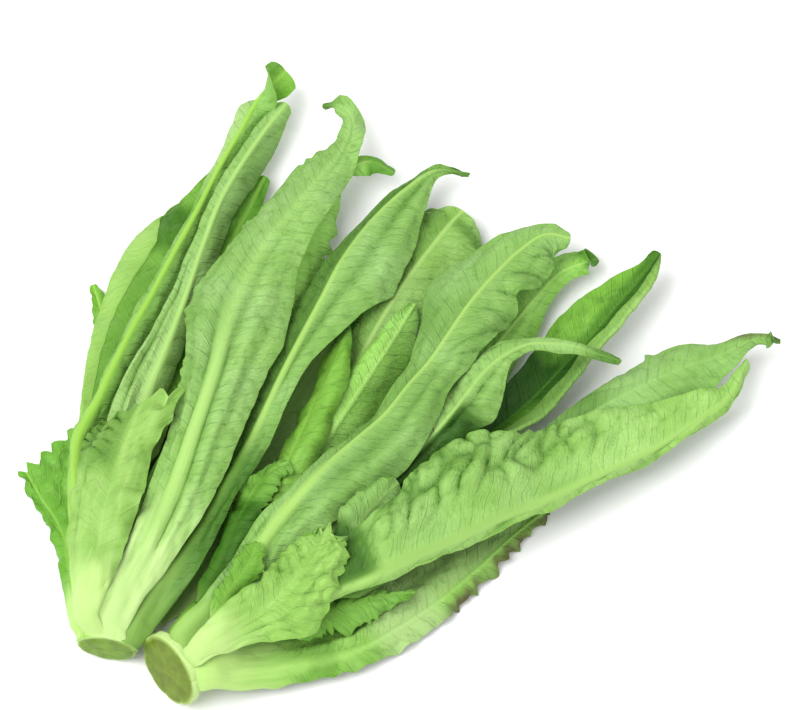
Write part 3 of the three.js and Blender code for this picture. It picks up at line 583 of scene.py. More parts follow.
def rib_of_solid(share, widths):
    """Half the width that the frame's solid gives to the rib."""
    slimming = 1 - (1 - RIB_AT_TIP) * share
    return np.minimum(RIB_HALF_WIDTH * slimming, RIB_SHARE * widths.min(axis=1))


def offsets_of_solid(rib, left, right):
    """The seven columns of the frame's solid, as distances to the left of the rib."""
    left = np.maximum(left, rib + 1)
    right = np.maximum(right, rib + 1)
    return np.stack([
        left, rib + MIDDLE_OF_BLADE * (left - rib), rib, 0 * rib,
        -rib, -rib - MIDDLE_OF_BLADE * (right - rib), -right,
    ], axis=1)


def corners_of(node):
    """The corners of a node's mesh, in millimetres."""
    mesh = node.data
    flat = np.empty(len(mesh.vertices) * 3)
    mesh.vertices.foreach_get("co", flat)
    turn = np.array(node.matrix_world)
    return (flat.reshape(-1, 3) @ turn[:3, :3].T + turn[:3, 3]) / MM


def middle_heights(leaf):
    """The middle heights of a leaf's solid at its rows and columns, and the shift of the whole bunch."""
    stations = np.array(leaf["stations"], float)
    per_station = TOOTHED_ROWS_PER_STATION if leaf.get("teeth") else ROWS_PER_STATION
    count = per_station * (len(stations) - 1) + 1
    share = np.arange(count) / (count - 1)
    route, widths = stations[:, :3], curve_through(stations[:, 3:], share)
    rib = rib_of_solid(share, widths)
    tooth = leaf.get("teeth", 0) * (np.arange(count) % 2 - 0.5) * np.minimum(1, share / TEETH_FULL_AT)
    offsets = offsets_of_solid(rib, widths[:, 0] + tooth, widths[:, 1] + tooth)
    centre, ahead = curve_through(route, share)[:, :2], headings(route, share)
    sideways = np.stack([-ahead[:, 1], ahead[:, 0]], axis=1)
    grid = centre[:, None, :] + offsets[:, :, None] * sideways[:, None, :]
    corners = corners_of(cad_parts[leaf["name"]])
    shift = corners[:, :2].min(axis=0) - grid.reshape(-1, 2).min(axis=0)
    heights = np.empty(offsets.shape)
    for i in range(count):
        for j in range(offsets.shape[1]):
            away = np.hypot(*(corners[:, :2] - grid[i, j] - shift).T)
            found = corners[away < max(SAME_POINT, away.min() + 1e-3), 2]
            heights[i, j] = (found.max() + found.min()) / 2
    slimming = 1 - (1 - RIB_AT_TIP) * share
    stalk = STALK_THICKENING * (1 - share) ** 2
    sign = -1 if leaf.get("rib_down") else 1
    heights[:, RIB_COLUMN - 1:RIB_COLUMN + 2] += sign * stalk[:, None] / 2
    heights[:, RIB_COLUMN] -= sign * RIB_HEIGHT * slimming / 2
    return heights, shift


def even_shares(route, step):
    """Shares of the route at even distances along it, and those distances."""
    dense = np.linspace(0, 1, DENSE_ROUTE)
    points = curve_through(route, dense)
    length = np.concatenate([[0], np.cumsum(np.linalg.norm(np.diff(points, axis=0), axis=1))])
    count = max(12, int(round(length[-1] / step)) + 1)
    along = np.linspace(0, length[-1], count)
    return np.interp(along, length, dense), along


def stem_radius(stem, along):
    """The radius of a stem at a distance behind its cut face."""
    radii = [stem["radius"], stem["radius"]] + [radius for radius, _ in CORE_PROFILE]
    places = [0, CUT_DISC_LENGTH] + [place for _, place in CORE_PROFILE]
    return np.interp(along, places, radii)


def stem_directions(stem):
    """The level directions along a stem's axis and to its left, and the height of its axis."""
    heading = math.radians(stem["heading"])
    axis = np.array([math.cos(heading), math.sin(heading), 0.0])
    level = stem["radius"] * STEM_FLATTENING * math.cos(math.pi / STEM_SIDES)
    return axis, np.array([-axis[1], axis[0], 0.0]), level


def rib_width(leaf, share):
    """Half the width of the fine rib."""
    foot, middle, tip = leaf.get("rib", (5, 2, 1))
    return np.interp(share, [0, 0.4, 1], [foot, middle, tip])


def seed_of(leaf):
    """The number that a leaf's wandering lines start from."""
    return sum(map(ord, leaf["name"]))


def fold_profile(leaf, side):
    """How far a side's margin is folded over at each place along the leaf, or None."""
    return dict(leaf.get("folds", ())).get(side)


def tooth_line(leaf, along, share, side):
    """How far the margin stands in or out: an uneven line, and teeth that point to the tip."""
    seed = seed_of(leaf) + (5 if side > 0 else 0)
    level = 0 * along
    line = 0.5 * drift(along / 31, level, seed) + 0.12 * drift(along / 9, level, seed + 1)
    line = line * smooth(along, 20, 80)
    for chosen, start, end, height, soft in leaf.get("wider", ()):
        if chosen in (0, side):
            line = line + height * between(share, start, end, soft)
    for chosen, height, spacing, start, end in leaf.get("jagged", ()):
        if chosen == side:
            beat = along / spacing + 0.6 * drift(along / 29, level, seed + 4)
            notch = saw(beat, 0.8) * (0.5 + 0.5 * np.sin(5.3 * np.floor(beat) + seed))
            window = smooth(share, start, start + 0.05) * (1 - smooth(share, end, end + 0.05))
            line = line + height * (notch - 0.4) * window
    for height, spacing, slant, chosen, start, end, *_ in leaf.get("blisters", ()):
        if chosen in (0, side) and spacing > 9:
            beat = (along - slant * 20) / spacing + 0.3 * drift(along / 47, level, seed + 2)
            window = smooth(share, start, start + 0.1) * (1 - smooth(share, end, end + 0.15))
            line = line + 0.36 * height * window * (np.abs(np.sin(math.pi * beat)) ** 0.6 - 0.6)
    if leaf.get("teeth"):
        beat = along / leaf.get("tooth_step", 6.0) + 0.35 * drift(along / 23, level, seed + 2)
        size = np.clip(0.55 + 0.9 * drift(along / 19, level, seed + 3), 0.08, 1.5)
        chosen = 1.0 if leaf.get("toothed_side", side) == side else 0.1
        teeth = chosen * leaf["teeth"] * size * (saw(beat, 0.72) ** 1.3 - 0.5)
        line = line + teeth * smooth(share, *leaf.get("teeth_from", (0.05, 0.25)))
    return line


def end_shift(leaf, along, offsets, edges):
    """How far each point near the tip is drawn back or pushed on, which rounds the tip or makes it ragged."""
    edge = np.where(offsets > 0, edges[0][:, None], edges[1][:, None])
    outward = np.clip(np.abs(offsets) / edge, 0, 1)
    broad = edge[-1:].max()
    near = smooth(along[:, None], along[-1] - max(8.0, 1.4 * broad), along[-1])
    shift = -near * leaf.get("round_tip", 0.55) * broad * outward ** 2.6
    if leaf.get("slanted_tip"):
        right, left = leaf["slanted_tip"]
        early = smooth(along[:, None], along[-1] - 50, along[-1])
        shift = shift + early * outward * np.where(offsets > 0, left, right)
    if leaf.get("ragged_tip"):
        height, spacing = leaf["ragged_tip"]
        seed, level = seed_of(leaf), 0 * offsets
        beat = offsets / spacing + 0.4 * drift(offsets / 19, level, seed + 6)
        size = 0.8 + 0.4 * drift(offsets / 11, level, seed + 7)
        shift = shift + near * height * (saw(beat, 0.7) - 0.6) * size
    return shift


def bulges(u, v, seed):
    """Bulges on a jittered grid that meet in creases: each point's height and the size of its bulge."""
    first, second, size = np.full(u.shape, 9.0), np.full(u.shape, 9.0), np.zeros(u.shape)
    for step in range(9):
        a, b = np.floor(u) + step % 3 - 1, np.floor(v) + step // 3 - 1
        one = np.sin(127.1 * a + 311.7 * b + seed) * 437.58
        other = np.sin(269.5 * a + 183.3 * b + seed) * 280.02
        one, other = one - np.floor(one), other - np.floor(other)
        distance = np.hypot(u - a - 0.5 - 0.75 * (one - 0.5), v - b - 0.5 - 0.75 * (other - 0.5))
        closer = distance < first
        second = np.where(closer, first, np.minimum(second, distance))
        size = np.where(closer, 0.6 + 0.6 * other, size)
        first = np.where(closer, distance, first)
    return np.clip((second - first) / 0.5, 0, 1) ** 0.6, size


def relief(leaf, along, share, offset, edge):
    """The puckers, pleats, frills and slow waves of a blade, as heights square to it, and the painted shade in
    the hollows between them.
    """
    seed = seed_of(leaf)
    away = np.abs(offset)
    outward = np.clip(away / edge, 0, 1)
    off_rib = smooth(outward, 0.06, 0.4)
    rise = 0.8 * drift(along / 58, offset / 40, seed) * off_rib
    folds = np.abs(drift(along / 34, offset / 17, seed + 9))
    rise += 1.1 * (np.minimum(folds, 0.8) - 0.3) * off_rib
    # How much shade is painted into the hollows between folds, puckers and pleats
    crease_shade = 0.45 * (1 - smooth(folds, 0.0, 0.13)) * off_rib
    beat = (along - 0.8 * away) / 7.0 + 0.25 * drift(along / 30, offset / 20, seed + 1)
    rise += 0.2 * (np.abs(np.sin(math.pi * beat)) - 0.5) * smooth(outward, 0.12, 0.3)
    for height, spacing, slant, side, start, end, *rest in leaf.get("blisters", ()):
        bend = 0.3 * drift(along / 37, offset / 29, seed + 2)
        inner = rest[0] if rest else 0.04
        body, size = bulges((along - slant * away) / spacing + bend, away / (1.9 * spacing) + 0.7 * bend,
                            seed % 17 + 5.0 * (offset < 0))
        window = smooth(outward, inner, inner + 0.28) * smooth(share, start - 0.12, start + 0.06)
        window = window * (1 - smooth(share, end - 0.08, end + 0.12))
        window = window * (1.0 if side == 0 else (np.sign(offset) == side))
        rise += height * window * (size * body - 0.4)
        crease_shade += min(1.0, 0.42 * height) * window * (1 - body) ** 1.7
    for side, centre, width, height, start, end in leaf.get("pleats", ()):
        wander = centre + 0.05 * np.sin(along / 37 + seed)
        valley = np.exp(-((outward - wander) / width) ** 2) * (np.sign(offset) == side)
        window = between(share, start, end, 0.1)
        rise += height * valley * window * np.clip(edge / 14, 0.15, 1)
        crease_shade += 0.2 * max(0.0, -height) * valley ** 2 * window
    if leaf.get("frill"):
        height, spacing = leaf["frill"]
        wave = drift(along / spacing, 0.7 * np.sign(offset) + 0.15 * outward, seed + 4)
        rise += 1.3 * height * wave * outward ** 3 * smooth(share, 0.1, 0.35)
    return rise * (0.3 + 0.7 * smooth(along, 10, 70)), np.clip(crease_shade, 0, 1) * smooth(along, 25, 85)


class Neighbours:
    """Says how much room there is above and below a leaf's solid before the next solid or the floor."""

    def __init__(self):
        corners, faces = [], []
        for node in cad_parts.values():
            start = sum(len(part) for part in corners)
            corners.append(corners_of(node))
            faces += [[start + k for k in face.vertices] for face in node.data.polygons]
        self.tree = BVHTree.FromPolygons(np.vstack(corners).tolist(), faces)

    def room(self, points, half=OWN_SOLID_HALF):
        """The height that is free above and below each point, in millimetres."""
        up, down = Vector((0, 0, 1)), Vector((0, 0, -1))
        above, below = np.full(len(points), 50.0), points[:, 2].copy()
        for k, (x, y, z) in enumerate(points.tolist()):
            over = self.tree.ray_cast(Vector((x, y, z + half)), up, 45)
            under = self.tree.ray_cast(Vector((x, y, z - half)), down, 45)
            if over[3] is not None:
                above[k] = over[3] + half
            if under[3] is not None:
                below[k] = min(below[k], under[3] + half)
        return above, below


def unit(vectors):
    return vectors / np.maximum(np.linalg.norm(vectors, axis=-1, keepdims=True), 1e-9)


def normals_of(points):
    """The upper normals of a grid whose rows go to the tip and whose columns go from left to right."""
    ahead = np.gradient(points, axis=0)
    rightward = np.gradient(points, axis=1)
    return unit(np.cross(rightward, ahead))


def fold_columns(leaf, side, share, base, normals, offsets, columns_of_side):
    """The part of a margin that is folded over: round the fold and back over the blade beside it."""
    profile = fold_profile(leaf, side)
    if profile is None:
        return None
    places, sizes = zip(*profile)
    back = np.interp(share, places, sizes)
    radius = FOLD_RADIUS * np.clip(back / 3, 0.06, 1)
    order = slice(None) if side > 0 else slice(None, None, -1)
    own = slice(0, columns_of_side + 1)
    base, normals, offsets = (grid[:, order][:, own] for grid in (base, normals, np.abs(offsets)))
    outward = unit(base[:, 0] - base[:, 1])
    columns, paths = [], []
    for k in range(1, FOLD_ARC_COLUMNS + 1):
        turn = math.pi * k / FOLD_ARC_COLUMNS
        swing = radius[:, None] * (math.sin(turn) * outward + (1 - math.cos(turn)) * normals[:, 0])
        columns.append(base[:, 0] + swing)
        paths.append(radius * turn)
    for k in range(1, FOLD_BACK_COLUMNS + 1):
        reach = back * k / FOLD_BACK_COLUMNS
        inward = np.maximum(offsets[:, 0] - reach, 0.3)
        spot = np.empty_like(base[:, 0])
        lift = np.empty_like(base[:, 0])
        for row in range(len(base)):
            for axis in range(3):
                spot[row, axis] = np.interp(inward[row], offsets[row, ::-1], base[row, ::-1, axis])
                lift[row, axis] = np.interp(inward[row], offsets[row, ::-1], normals[row, ::-1, axis])
        height = np.maximum(2 * radius * (1 - 0.85 * k / FOLD_BACK_COLUMNS), np.minimum(2 * radius, 0.34))
        columns.append(spot + height[:, None] * unit(lift))
        paths.append(radius * math.pi + reach)
    return np.stack(columns, axis=1), np.stack(paths, axis=1)


def side_offsets(rib, edge, inset):
    """Distances from the rib to the margin, closer together on the rib."""
    columns = int(np.clip(edge.max() / COLUMN_STEP, FEWEST_COLUMNS, MOST_COLUMNS))
    on_rib = np.linspace(0, 1, RIB_COLUMNS + 1)[1:]
    on_blade = np.linspace(0, 1, columns + 1)[1:]
    rib = np.minimum(rib, 0.6 * edge)[:, None]
    edge = (edge - inset)[:, None]
    return np.hstack([rib * on_rib, rib + (edge - rib) * on_blade])


def leaf_mesh(leaf, neighbours, settings):
    """The two-sided sheet of one leaf."""
    stations = np.array(leaf["stations"], float)
    heights, shift = middle_heights(leaf)
    route = stations[:, :3]
    row_step = TOOTHED_ROW_STEP if leaf.get("teeth") else ROW_STEP
    share, along = even_shares(route, leaf.get("step", row_step))
    widths = curve_through(stations[:, 3:], share)
    solid_rib = rib_of_solid(share, widths)
    knots = offsets_of_solid(solid_rib, widths[:, 0], widths[:, 1])
    knot_heights = smooth_rows(heights, share)
    centre = curve_through(route, share)[:, :2] + shift
    ahead = headings(route, share)
    sideways = np.stack([-ahead[:, 1], ahead[:, 0]], axis=1)
    rib = rib_width(leaf, share)
    edges, insets = [], []
    for side in (1, -1):
        edge = knots[:, 0] if side > 0 else -knots[:, -1]
        edge = np.maximum(edge + tooth_line(leaf, along, share, side), 0.8)
        if not leaf.get("stem"):
            edge = edge * (0.25 + 0.75 * smooth(along, 0, FOOT_TAPER))
        edges.append(edge)
        insets.append(np.minimum(FOLD_RADIUS if fold_profile(leaf, side) else 0.0, 0.4 * edge))
    left = side_offsets(rib, edges[0], insets[0])
    right = side_offsets(rib, edges[1], insets[1])
    offsets = np.hstack([left[:, ::-1], 0 * left[:, :1], -right])
    z = smooth_across(knots, knot_heights, offsets)
    rib_z = knot_heights[:, RIB_COLUMN:RIB_COLUMN + 1]
    level, upright = offsets, z - rib_z
    if leaf.get("twist"):
        start, end, degrees = leaf["twist"]
        roll = math.radians(degrees) * smooth(share, start, end)[:, None]
        level, upright = (level * np.cos(roll) - upright * np.sin(roll),
                          level * np.sin(roll) + upright * np.cos(roll))
    base = np.empty(offsets.shape + (3,))
    base[..., :2] = centre[:, None, :] + level[..., None] * sideways[:, None, :]
    base[..., 2] = rib_z + upright
    base[..., :2] += end_shift(leaf, along, offsets, edges)[..., None] * ahead[:, None, :]
    edge_here = np.hstack([np.repeat(edges[0][:, None], left.shape[1] + 1, axis=1),
                           np.repeat(edges[1][:, None], right.shape[1], axis=1)])
    above, below = (room.reshape(offsets.shape) for room in neighbours.room(base.reshape(-1, 3)))
    rise, crease_shade = relief(leaf, along[:, None], share[:, None], offsets, edge_here)
    rise = np.minimum(rise, np.maximum(0, 0.5 * (above - CLEAR_OF_NEIGHBOUR)))
    rise = np.maximum(rise, -np.maximum(0, 0.5 * (below - CLEAR_OF_NEIGHBOUR)))
    base = base + rise[..., None] * normals_of(base)
    stem = STEMS.get(leaf.get("stem"))
    if stem is not None:
        base, offsets, along, share = with_root(stem, shift, base, offsets, along, share)
    normals = normals_of(base)
    path = offsets.copy()
    # Painted shade in the hollows of the relief; the folded margin and the root have none
    painted_crease_shade = np.zeros(path.shape)
    painted_crease_shade[-len(crease_shade):] = crease_shade
    layers = [[base], [path], [np.ones(path.shape)], [painted_crease_shade]]
    for side, columns_of_side, last in ((1, left.shape[1], 0), (-1, right.shape[1], -1)):
        folded = fold_columns(leaf, side, share, base, normals, offsets, columns_of_side)
        if folded is None:
            continue
        columns, reach = folded
        edge_path = np.abs(offsets[:, last])[:, None] + reach
        for layer, part in zip(layers, (columns, side * edge_path, 0 * edge_path, 0 * edge_path)):
            layer.insert(0 if side > 0 else len(layer), part[:, ::side * -1])
    base, path, flat, painted_crease_shades = (np.concatenate(layer, axis=1) for layer in layers)
    return close_sheet(leaf, base, path, (flat, painted_crease_shades), along, share, settings)


def with_root(stem, shift, base, offsets, along, share):
    """Carries a leaf's stalk on from its foot, round the flank of its stem, to just behind the cut."""
    axis, leftward, level = stem_directions(stem)
    foot = np.array([stem["foot"][0] + shift[0], stem["foot"][1] + shift[1], level])
    upward = np.array([0.0, 0.0, 1.0])
    first = base[0]
    behind = (first - foot) @ axis
    rib_column = int(np.argmin(np.abs(offsets[0])))
    middle = first[rib_column] - foot
    azimuth = math.atan2(middle @ leftward, middle[2] / STEM_FLATTENING)
    azimuth = azimuth + offsets[0] / (0.95 * stem["radius"])
    reach = float(behind[rib_column]) - stem["root_end"]
    count = max(5, int(round(reach / ROOT_STEP)))
    rows = []
    for k in range(count, 0, -1):
        part = k / count
        here = behind * (1 - part) + stem["root_end"] * part
        straight = first + axis * (here - behind)[:, None]
        radius = stem_radius(stem, here) + 1.2 - (1.2 + stem["root_sink"]) * smooth(part, 0.3, 1.0)
        wrapped = foot + axis * here[:, None] + leftward * (radius * np.sin(azimuth))[:, None]
        wrapped = wrapped + upward * (radius * STEM_FLATTENING * np.cos(azimuth))[:, None]
        hug = smooth(part, 0.0, 0.8)
        rows.append((1 - hug) * straight + hug * wrapped)
    base = np.concatenate([np.array(rows), base])
    first_row = np.zeros(count, int)
    along = np.concatenate([-reach * np.arange(count, 0, -1) / count, along])
    offsets = np.concatenate([offsets[first_row], offsets])
    return base, offsets, along, np.concatenate([share[first_row], share])


def close_sheet(leaf, base, path, masks, along, share, settings):
    """Thickens a sheet to its two faces and its rim, and makes a mesh of it with what its finish reads."""
    flat, painted_crease_shade = masks
    normals = normals_of(base)
    rib = rib_width(leaf, share)[:, None]
    reach = np.maximum(np.abs(path[:, :1]), 1e-3), np.maximum(np.abs(path[:, -1:]), 1e-3)
    margin = np.where(path > 0, reach[0] - path, reach[1] + path)
    outward = np.clip(np.abs(path) / np.where(path > 0, reach[0], reach[1]), 0, 1)
    neck = (1 - smooth(along, 8, 75))[:, None]
    kept = STEMS[leaf["stem"]]["root_kept"] if leaf.get("stem") else 1.0
    sunk = (kept + (1 - kept) * smooth(along, along[0], along[0] + 7))[:, None]
    stalk = neck ** 1.5 * np.sqrt(np.maximum(1 - outward ** 2, 0)) * sunk
    half = settings["blade_half"] * (RIM_SHARE_OF_SHEET + (1 - RIM_SHARE_OF_SHEET) * smooth(margin, 0, 3))
    raised = leaf.get("rib_rise", 1.0)
    ridge = raised * RIB_HEIGHT * (1 - (1 - RIB_AT_TIP) * share)[:, None]
    if leaf.get("rib_fades"):
        shown = (1 - 0.8 * smooth(share, *leaf["rib_fades"]))[:, None]
        ridge, raised = ridge * shown, raised * shown
    from_rib = np.abs(path) / (1.25 * rib)
    bump = np.where(from_rib < 1, 0.5 + 0.5 * np.cos(math.pi * from_rib), 0)
    outer = half + np.maximum(0.9 * ridge * bump ** 0.8 * sunk, 2.6 * stalk)
    inner = half + 0.9 * stalk - 0.45 * half * bump * (1 - neck)
    up, down = (inner, outer) if leaf.get("rib_down") else (outer, inner)
    rows, columns = path.shape
    top = base + normals * up[..., None]
    bottom = base - normals * down[..., None]
    points = np.concatenate([top.reshape(-1, 3), bottom.reshape(-1, 3)])
    flattened_from = HIGHEST - SOFT_TOP
    over = np.maximum(points[:, 2] - flattened_from, 0)
    lowered = flattened_from + SOFT_TOP * np.tanh(over / SOFT_TOP)
    points[:, 2] = np.maximum(np.where(over > 0, lowered, points[:, 2]), LOWEST)
    count = rows * columns
    index = np.arange(count).reshape(rows, columns)
    quads = np.stack([index[:-1, :-1], index[:-1, 1:], index[1:, 1:], index[1:, :-1]], axis=-1).reshape(-1, 4)
    rim = np.concatenate([index[0, :], index[1:, -1], index[-1, -2::-1], index[-2:0:-1, 0]])
    follow = np.roll(rim, -1)
    band = np.stack([rim + count, follow + count, follow, rim], axis=-1)
    faces = np.concatenate([quads, quads[:, ::-1] + count, band])
    sides = np.concatenate([np.zeros(len(quads)), np.ones(len(quads)), np.zeros(len(band))])
    if leaf.get("rib_down"):
        sides = 1 - sides
    spot = np.stack([np.broadcast_to(along[:, None], path.shape), path, margin], axis=-1).reshape(-1, 3)
    paint_rib = np.minimum(1.0, 1.2 * raised) * (1 - smooth(np.abs(path), 0.4 * rib, 1.2 * rib))
    neck_end = leaf.get("neck", settings["neck_length"])
    neck_here = np.maximum(1 - smooth(along, -2, neck_end), leaf.get("sleek", 0.0))
    paint_neck = neck_here[:, None] * np.ones(path.shape)
    # Painted shade: areas darkened where shade falls between and under leaves and in hollows, and a line along
    # the rib
    painted_shade_areas = leaf.get("painted_shade_areas", ())
    painted_shade_mask = paint([area for area in painted_shade_areas if area[0] != 0], share[:, None], path) * flat
    painted_shade_mask = painted_shade_mask + paint([area for area in painted_shade_areas if area[0] == 0], share[:, None], path)
    # Painted shade along the rib, where the hollow of a folded leaf lies
    if leaf.get("painted_rib_shade"):
        half_rib_shade, amount = leaf["painted_rib_shade"]
        painted_shade_mask = painted_shade_mask + amount * flat * (1 - smooth(np.abs(path), 0.2 * half_rib_shade, half_rib_shade))
    mask = np.stack([paint_rib, paint_neck, painted_shade_mask], axis=-1).reshape(-1, 3)
    browned = paint(leaf.get("worn", ()), share[:, None], path) * (1 - smooth(margin, 1.0, 7.0))
    # Painted light: areas made paler where light falls brighter
    painted_light_mask = paint(leaf.get("painted_light_areas", ()), share[:, None], path)
    # Browning is the leaf's own colour; painted light and the painted shade of hollows go with it in one layer
    browning_painted_light_and_shade = np.stack([browned, painted_light_mask, painted_crease_shade], axis=-1).reshape(-1, 3)
    layers = {"leaf_place": spot, "leaf_mask": mask, "leaf_browning_painted_light_and_shade": browning_painted_light_and_shade}
    layers = {name: np.concatenate([values, values]) for name, values in layers.items()}
    return fine_mesh(leaf["name"], points, faces.tolist(), layers, SHARP_LEAF_ANGLE, sides)


def fine_mesh(name, points, faces, layers, sharp_angle, sides=None):
    """A smooth-shaded mesh with its point layers and the material number of each face."""
    mesh = bpy.data.meshes.new(name + "_fine")
    mesh.from_pydata((points * MM).tolist(), [], faces)
    if sides is not None:
        mesh.polygons.foreach_set("material_index", sides.astype(np.int32))
    mesh.polygons.foreach_set("use_smooth", np.ones(len(faces), bool))
    for label, values in layers.items():
        layer = mesh.attributes.new(label, "FLOAT_VECTOR", "POINT")
        layer.data.foreach_set("vector", values.astype(np.float32).ravel())
    mesh.set_sharp_from_angle(angle=sharp_angle)
    mesh.update()
    return mesh


def paint(areas, share, path):
    """A mask over a leaf, from areas given as side, from and to along the leaf, and how strong."""
    mask = np.zeros(path.shape)
    for side, start, end, amount, *rest in areas:
        soft = rest[0] if rest else 0.05
        chosen = 1.0 if side == 0 else smooth(side * path, 0.0, 2.0)
        mask = mask + amount * chosen * between(share, start, end, soft)
    return mask


class Wires:
    """Adds nodes to one node tree and joins them up."""

    def __init__(self, tree):
        self.tree = tree

    def node(self, kind, **settings):
        node = self.tree.nodes.new(kind)
        for name, value in settings.items():
            setattr(node, name, value)
        return node

    def feed(self, socket, value):
        if isinstance(value, bpy.types.NodeSocket):
            self.tree.links.new(value, socket)
        else:
            socket.default_value = value

    def math(self, operation, *values):
        node = self.node("ShaderNodeMath", operation=operation)
        for socket, value in zip(node.inputs, values):
            self.feed(socket, value)
        return node.outputs[0]

    def times(self, one, other):
        return self.math("MULTIPLY", one, other)

    def minus(self, one, other):
        return self.math("SUBTRACT", one, other)

    def times_plus(self, one, other, more):
        return self.math("MULTIPLY_ADD", one, other, more)

    def fade(self, value, low, high):
        node = self.node("ShaderNodeMapRange", interpolation_type="SMOOTHSTEP")
        for name, setting in (("Value", value), ("From Min", low), ("From Max", high)):
            self.feed(node.inputs[name], setting)
        return node.outputs["Result"]

    def fade_out(self, value, low, high):
        return self.minus(1.0, self.fade(value, low, high))

    def mix(self, share, one, other, blend="MIX"):
        node = self.node("ShaderNodeMix", data_type="RGBA", blend_type=blend)
        for number, value in ((0, share), (6, colour(one)), (7, colour(other))):
            self.feed(node.inputs[number], value)
        return node.outputs[2]

    def tint(self, share, one, other):
        return self.mix(share, one, other, "MULTIPLY")

    def vector(self, x, y, z):
        node = self.node("ShaderNodeCombineXYZ")
        for socket, value in zip(node.inputs, (x, y, z)):
            self.feed(socket, value)
        return node.outputs[0]

    def noise(self, vector, scale, detail):
        node = self.node("ShaderNodeTexNoise")
        self.feed(node.inputs["Vector"], vector)
        self.feed(node.inputs["Scale"], scale)
        self.feed(node.inputs["Detail"], detail)
        return node.outputs["Fac"]

    def attribute(self, name):
        node = self.node("ShaderNodeAttribute", attribute_type="GEOMETRY", attribute_name=name)
        parts = self.node("ShaderNodeSeparateXYZ")
        self.feed(parts.inputs[0], node.outputs["Vector"])
        return parts.outputs


def colour(value):
    """A linear colour with its alpha, or a socket as it is."""
    return value if isinstance(value, bpy.types.NodeSocket) else (*value[:3], 1.0)


def node_group(name, inputs, outputs):
    """An empty shader node group with named sockets, and its wires, entry and exit."""
    group = bpy.data.node_groups.new(name, "ShaderNodeTree")
    for label, kind, default in inputs:
        socket = group.interface.new_socket(label, in_out="INPUT", socket_type=kind)
        socket.default_value = default
    for label, kind in outputs:
        group.interface.new_socket(label, in_out="OUTPUT", socket_type=kind)
    wires = Wires(group)
    return group, wires, wires.node("NodeGroupInput"), wires.node("NodeGroupOutput")


def leaf_veins_group():
    """Side veins that slant from the rib to the margin, the net between them and the fine cross lines."""
    group, wires, entry, end = node_group(
        "leaf_veins",
        [("Spacing", "NodeSocketFloat", 8.0), ("Slant", "NodeSocketFloat", 0.8)],
        [("Laterals", "NodeSocketFloat"), ("Net", "NodeSocketFloat"), ("Lines", "NodeSocketFloat")])
    along, across, _ = wires.attribute("leaf_place")
    away = wires.math("ABSOLUTE", across)
    wander = wires.minus(wires.noise(wires.vector(along, across, 0.0), 0.05, 2.0), 0.5)
    slanted = wires.minus(along, wires.times(away, entry.outputs["Slant"]))
    beat = wires.math("DIVIDE", wires.times_plus(wander, 9.0, slanted), entry.outputs["Spacing"])
    part = wires.math("ABSOLUTE", wires.minus(wires.math("FRACT", beat), 0.5))
    line = wires.fade_out(wires.times(part, entry.outputs["Spacing"]), 0.12, 0.75)
    near_rib = wires.minus(1.0, wires.times(wires.fade(away, 4.0, 40.0), 0.6))
    wires.feed(end.inputs["Laterals"], wires.times(line, near_rib))
    cells = wires.node("ShaderNodeTexVoronoi", feature="DISTANCE_TO_EDGE")
    warped = wires.times_plus(slanted, 0.42, wires.times(wander, 3.0))
    wires.feed(cells.inputs["Vector"], wires.vector(warped, wires.times(across, 0.3), 0.0))
    wires.feed(cells.inputs["Scale"], 1.0)
    wires.feed(end.inputs["Net"], wires.fade_out(cells.outputs["Distance"], 0.02, 0.2))
    crossing = wires.minus(along, wires.times(away, 0.45))
    drawn = wires.vector(wires.times_plus(wander, 8.0, crossing), wires.times(across, 0.13), 0.0)
    wires.feed(end.inputs["Lines"], wires.fade(wires.noise(drawn, 0.62, 3.0), 0.5, 0.68))
    return group


def leaf_tissue_group():
    """Soft patches of darker and paler green, the fine grain of a leaf's skin and its pale bloom."""
    group, wires, entry, end = node_group(
        "leaf_tissue", [("Patch", "NodeSocketFloat", 22.0)],
        [("Patches", "NodeSocketFloat"), ("Grain", "NodeSocketFloat"), ("Bloom", "NodeSocketFloat")])
    along, across, _ = wires.attribute("leaf_place")
    plain = wires.vector(along, wires.times(across, 1.6), 0.0)
    per_patch = wires.math("DIVIDE", 1.0, entry.outputs["Patch"])
    wires.feed(end.inputs["Patches"], wires.noise(plain, per_patch, 3.0))
    wires.feed(end.inputs["Grain"], wires.noise(plain, 2.2, 3.0))
    cloudy = wires.noise(wires.node("ShaderNodeTexCoord").outputs["Object"], 26.0, 2.0)
    wires.feed(end.inputs["Bloom"], wires.fade(cloudy, 0.42, 0.66))
    return group


def new_material(name):
    """A material with its wires and its shader."""
    material = bpy.data.materials.new(name)
    material.use_nodes = True
    return material, Wires(material.node_tree), material.node_tree.nodes["Principled BSDF"]


def give_skin(wires, shader, height, depth, softness, reach, shine):
    """Gives a shader its bumps, the light that soaks into it and its shine."""
    bump = wires.node("ShaderNodeBump")
    bump.inputs["Strength"].default_value = 1.0
    bump.inputs["Distance"].default_value = depth
    wires.feed(bump.inputs["Height"], height)
    wires.feed(shader.inputs["Normal"], bump.outputs["Normal"])
    shader.inputs["Subsurface Weight"].default_value = softness
    shader.inputs["Subsurface Radius"].default_value = reach
    shader.inputs["Subsurface Scale"].default_value = 1.0
    shader.inputs["Specular IOR Level"].default_value = shine


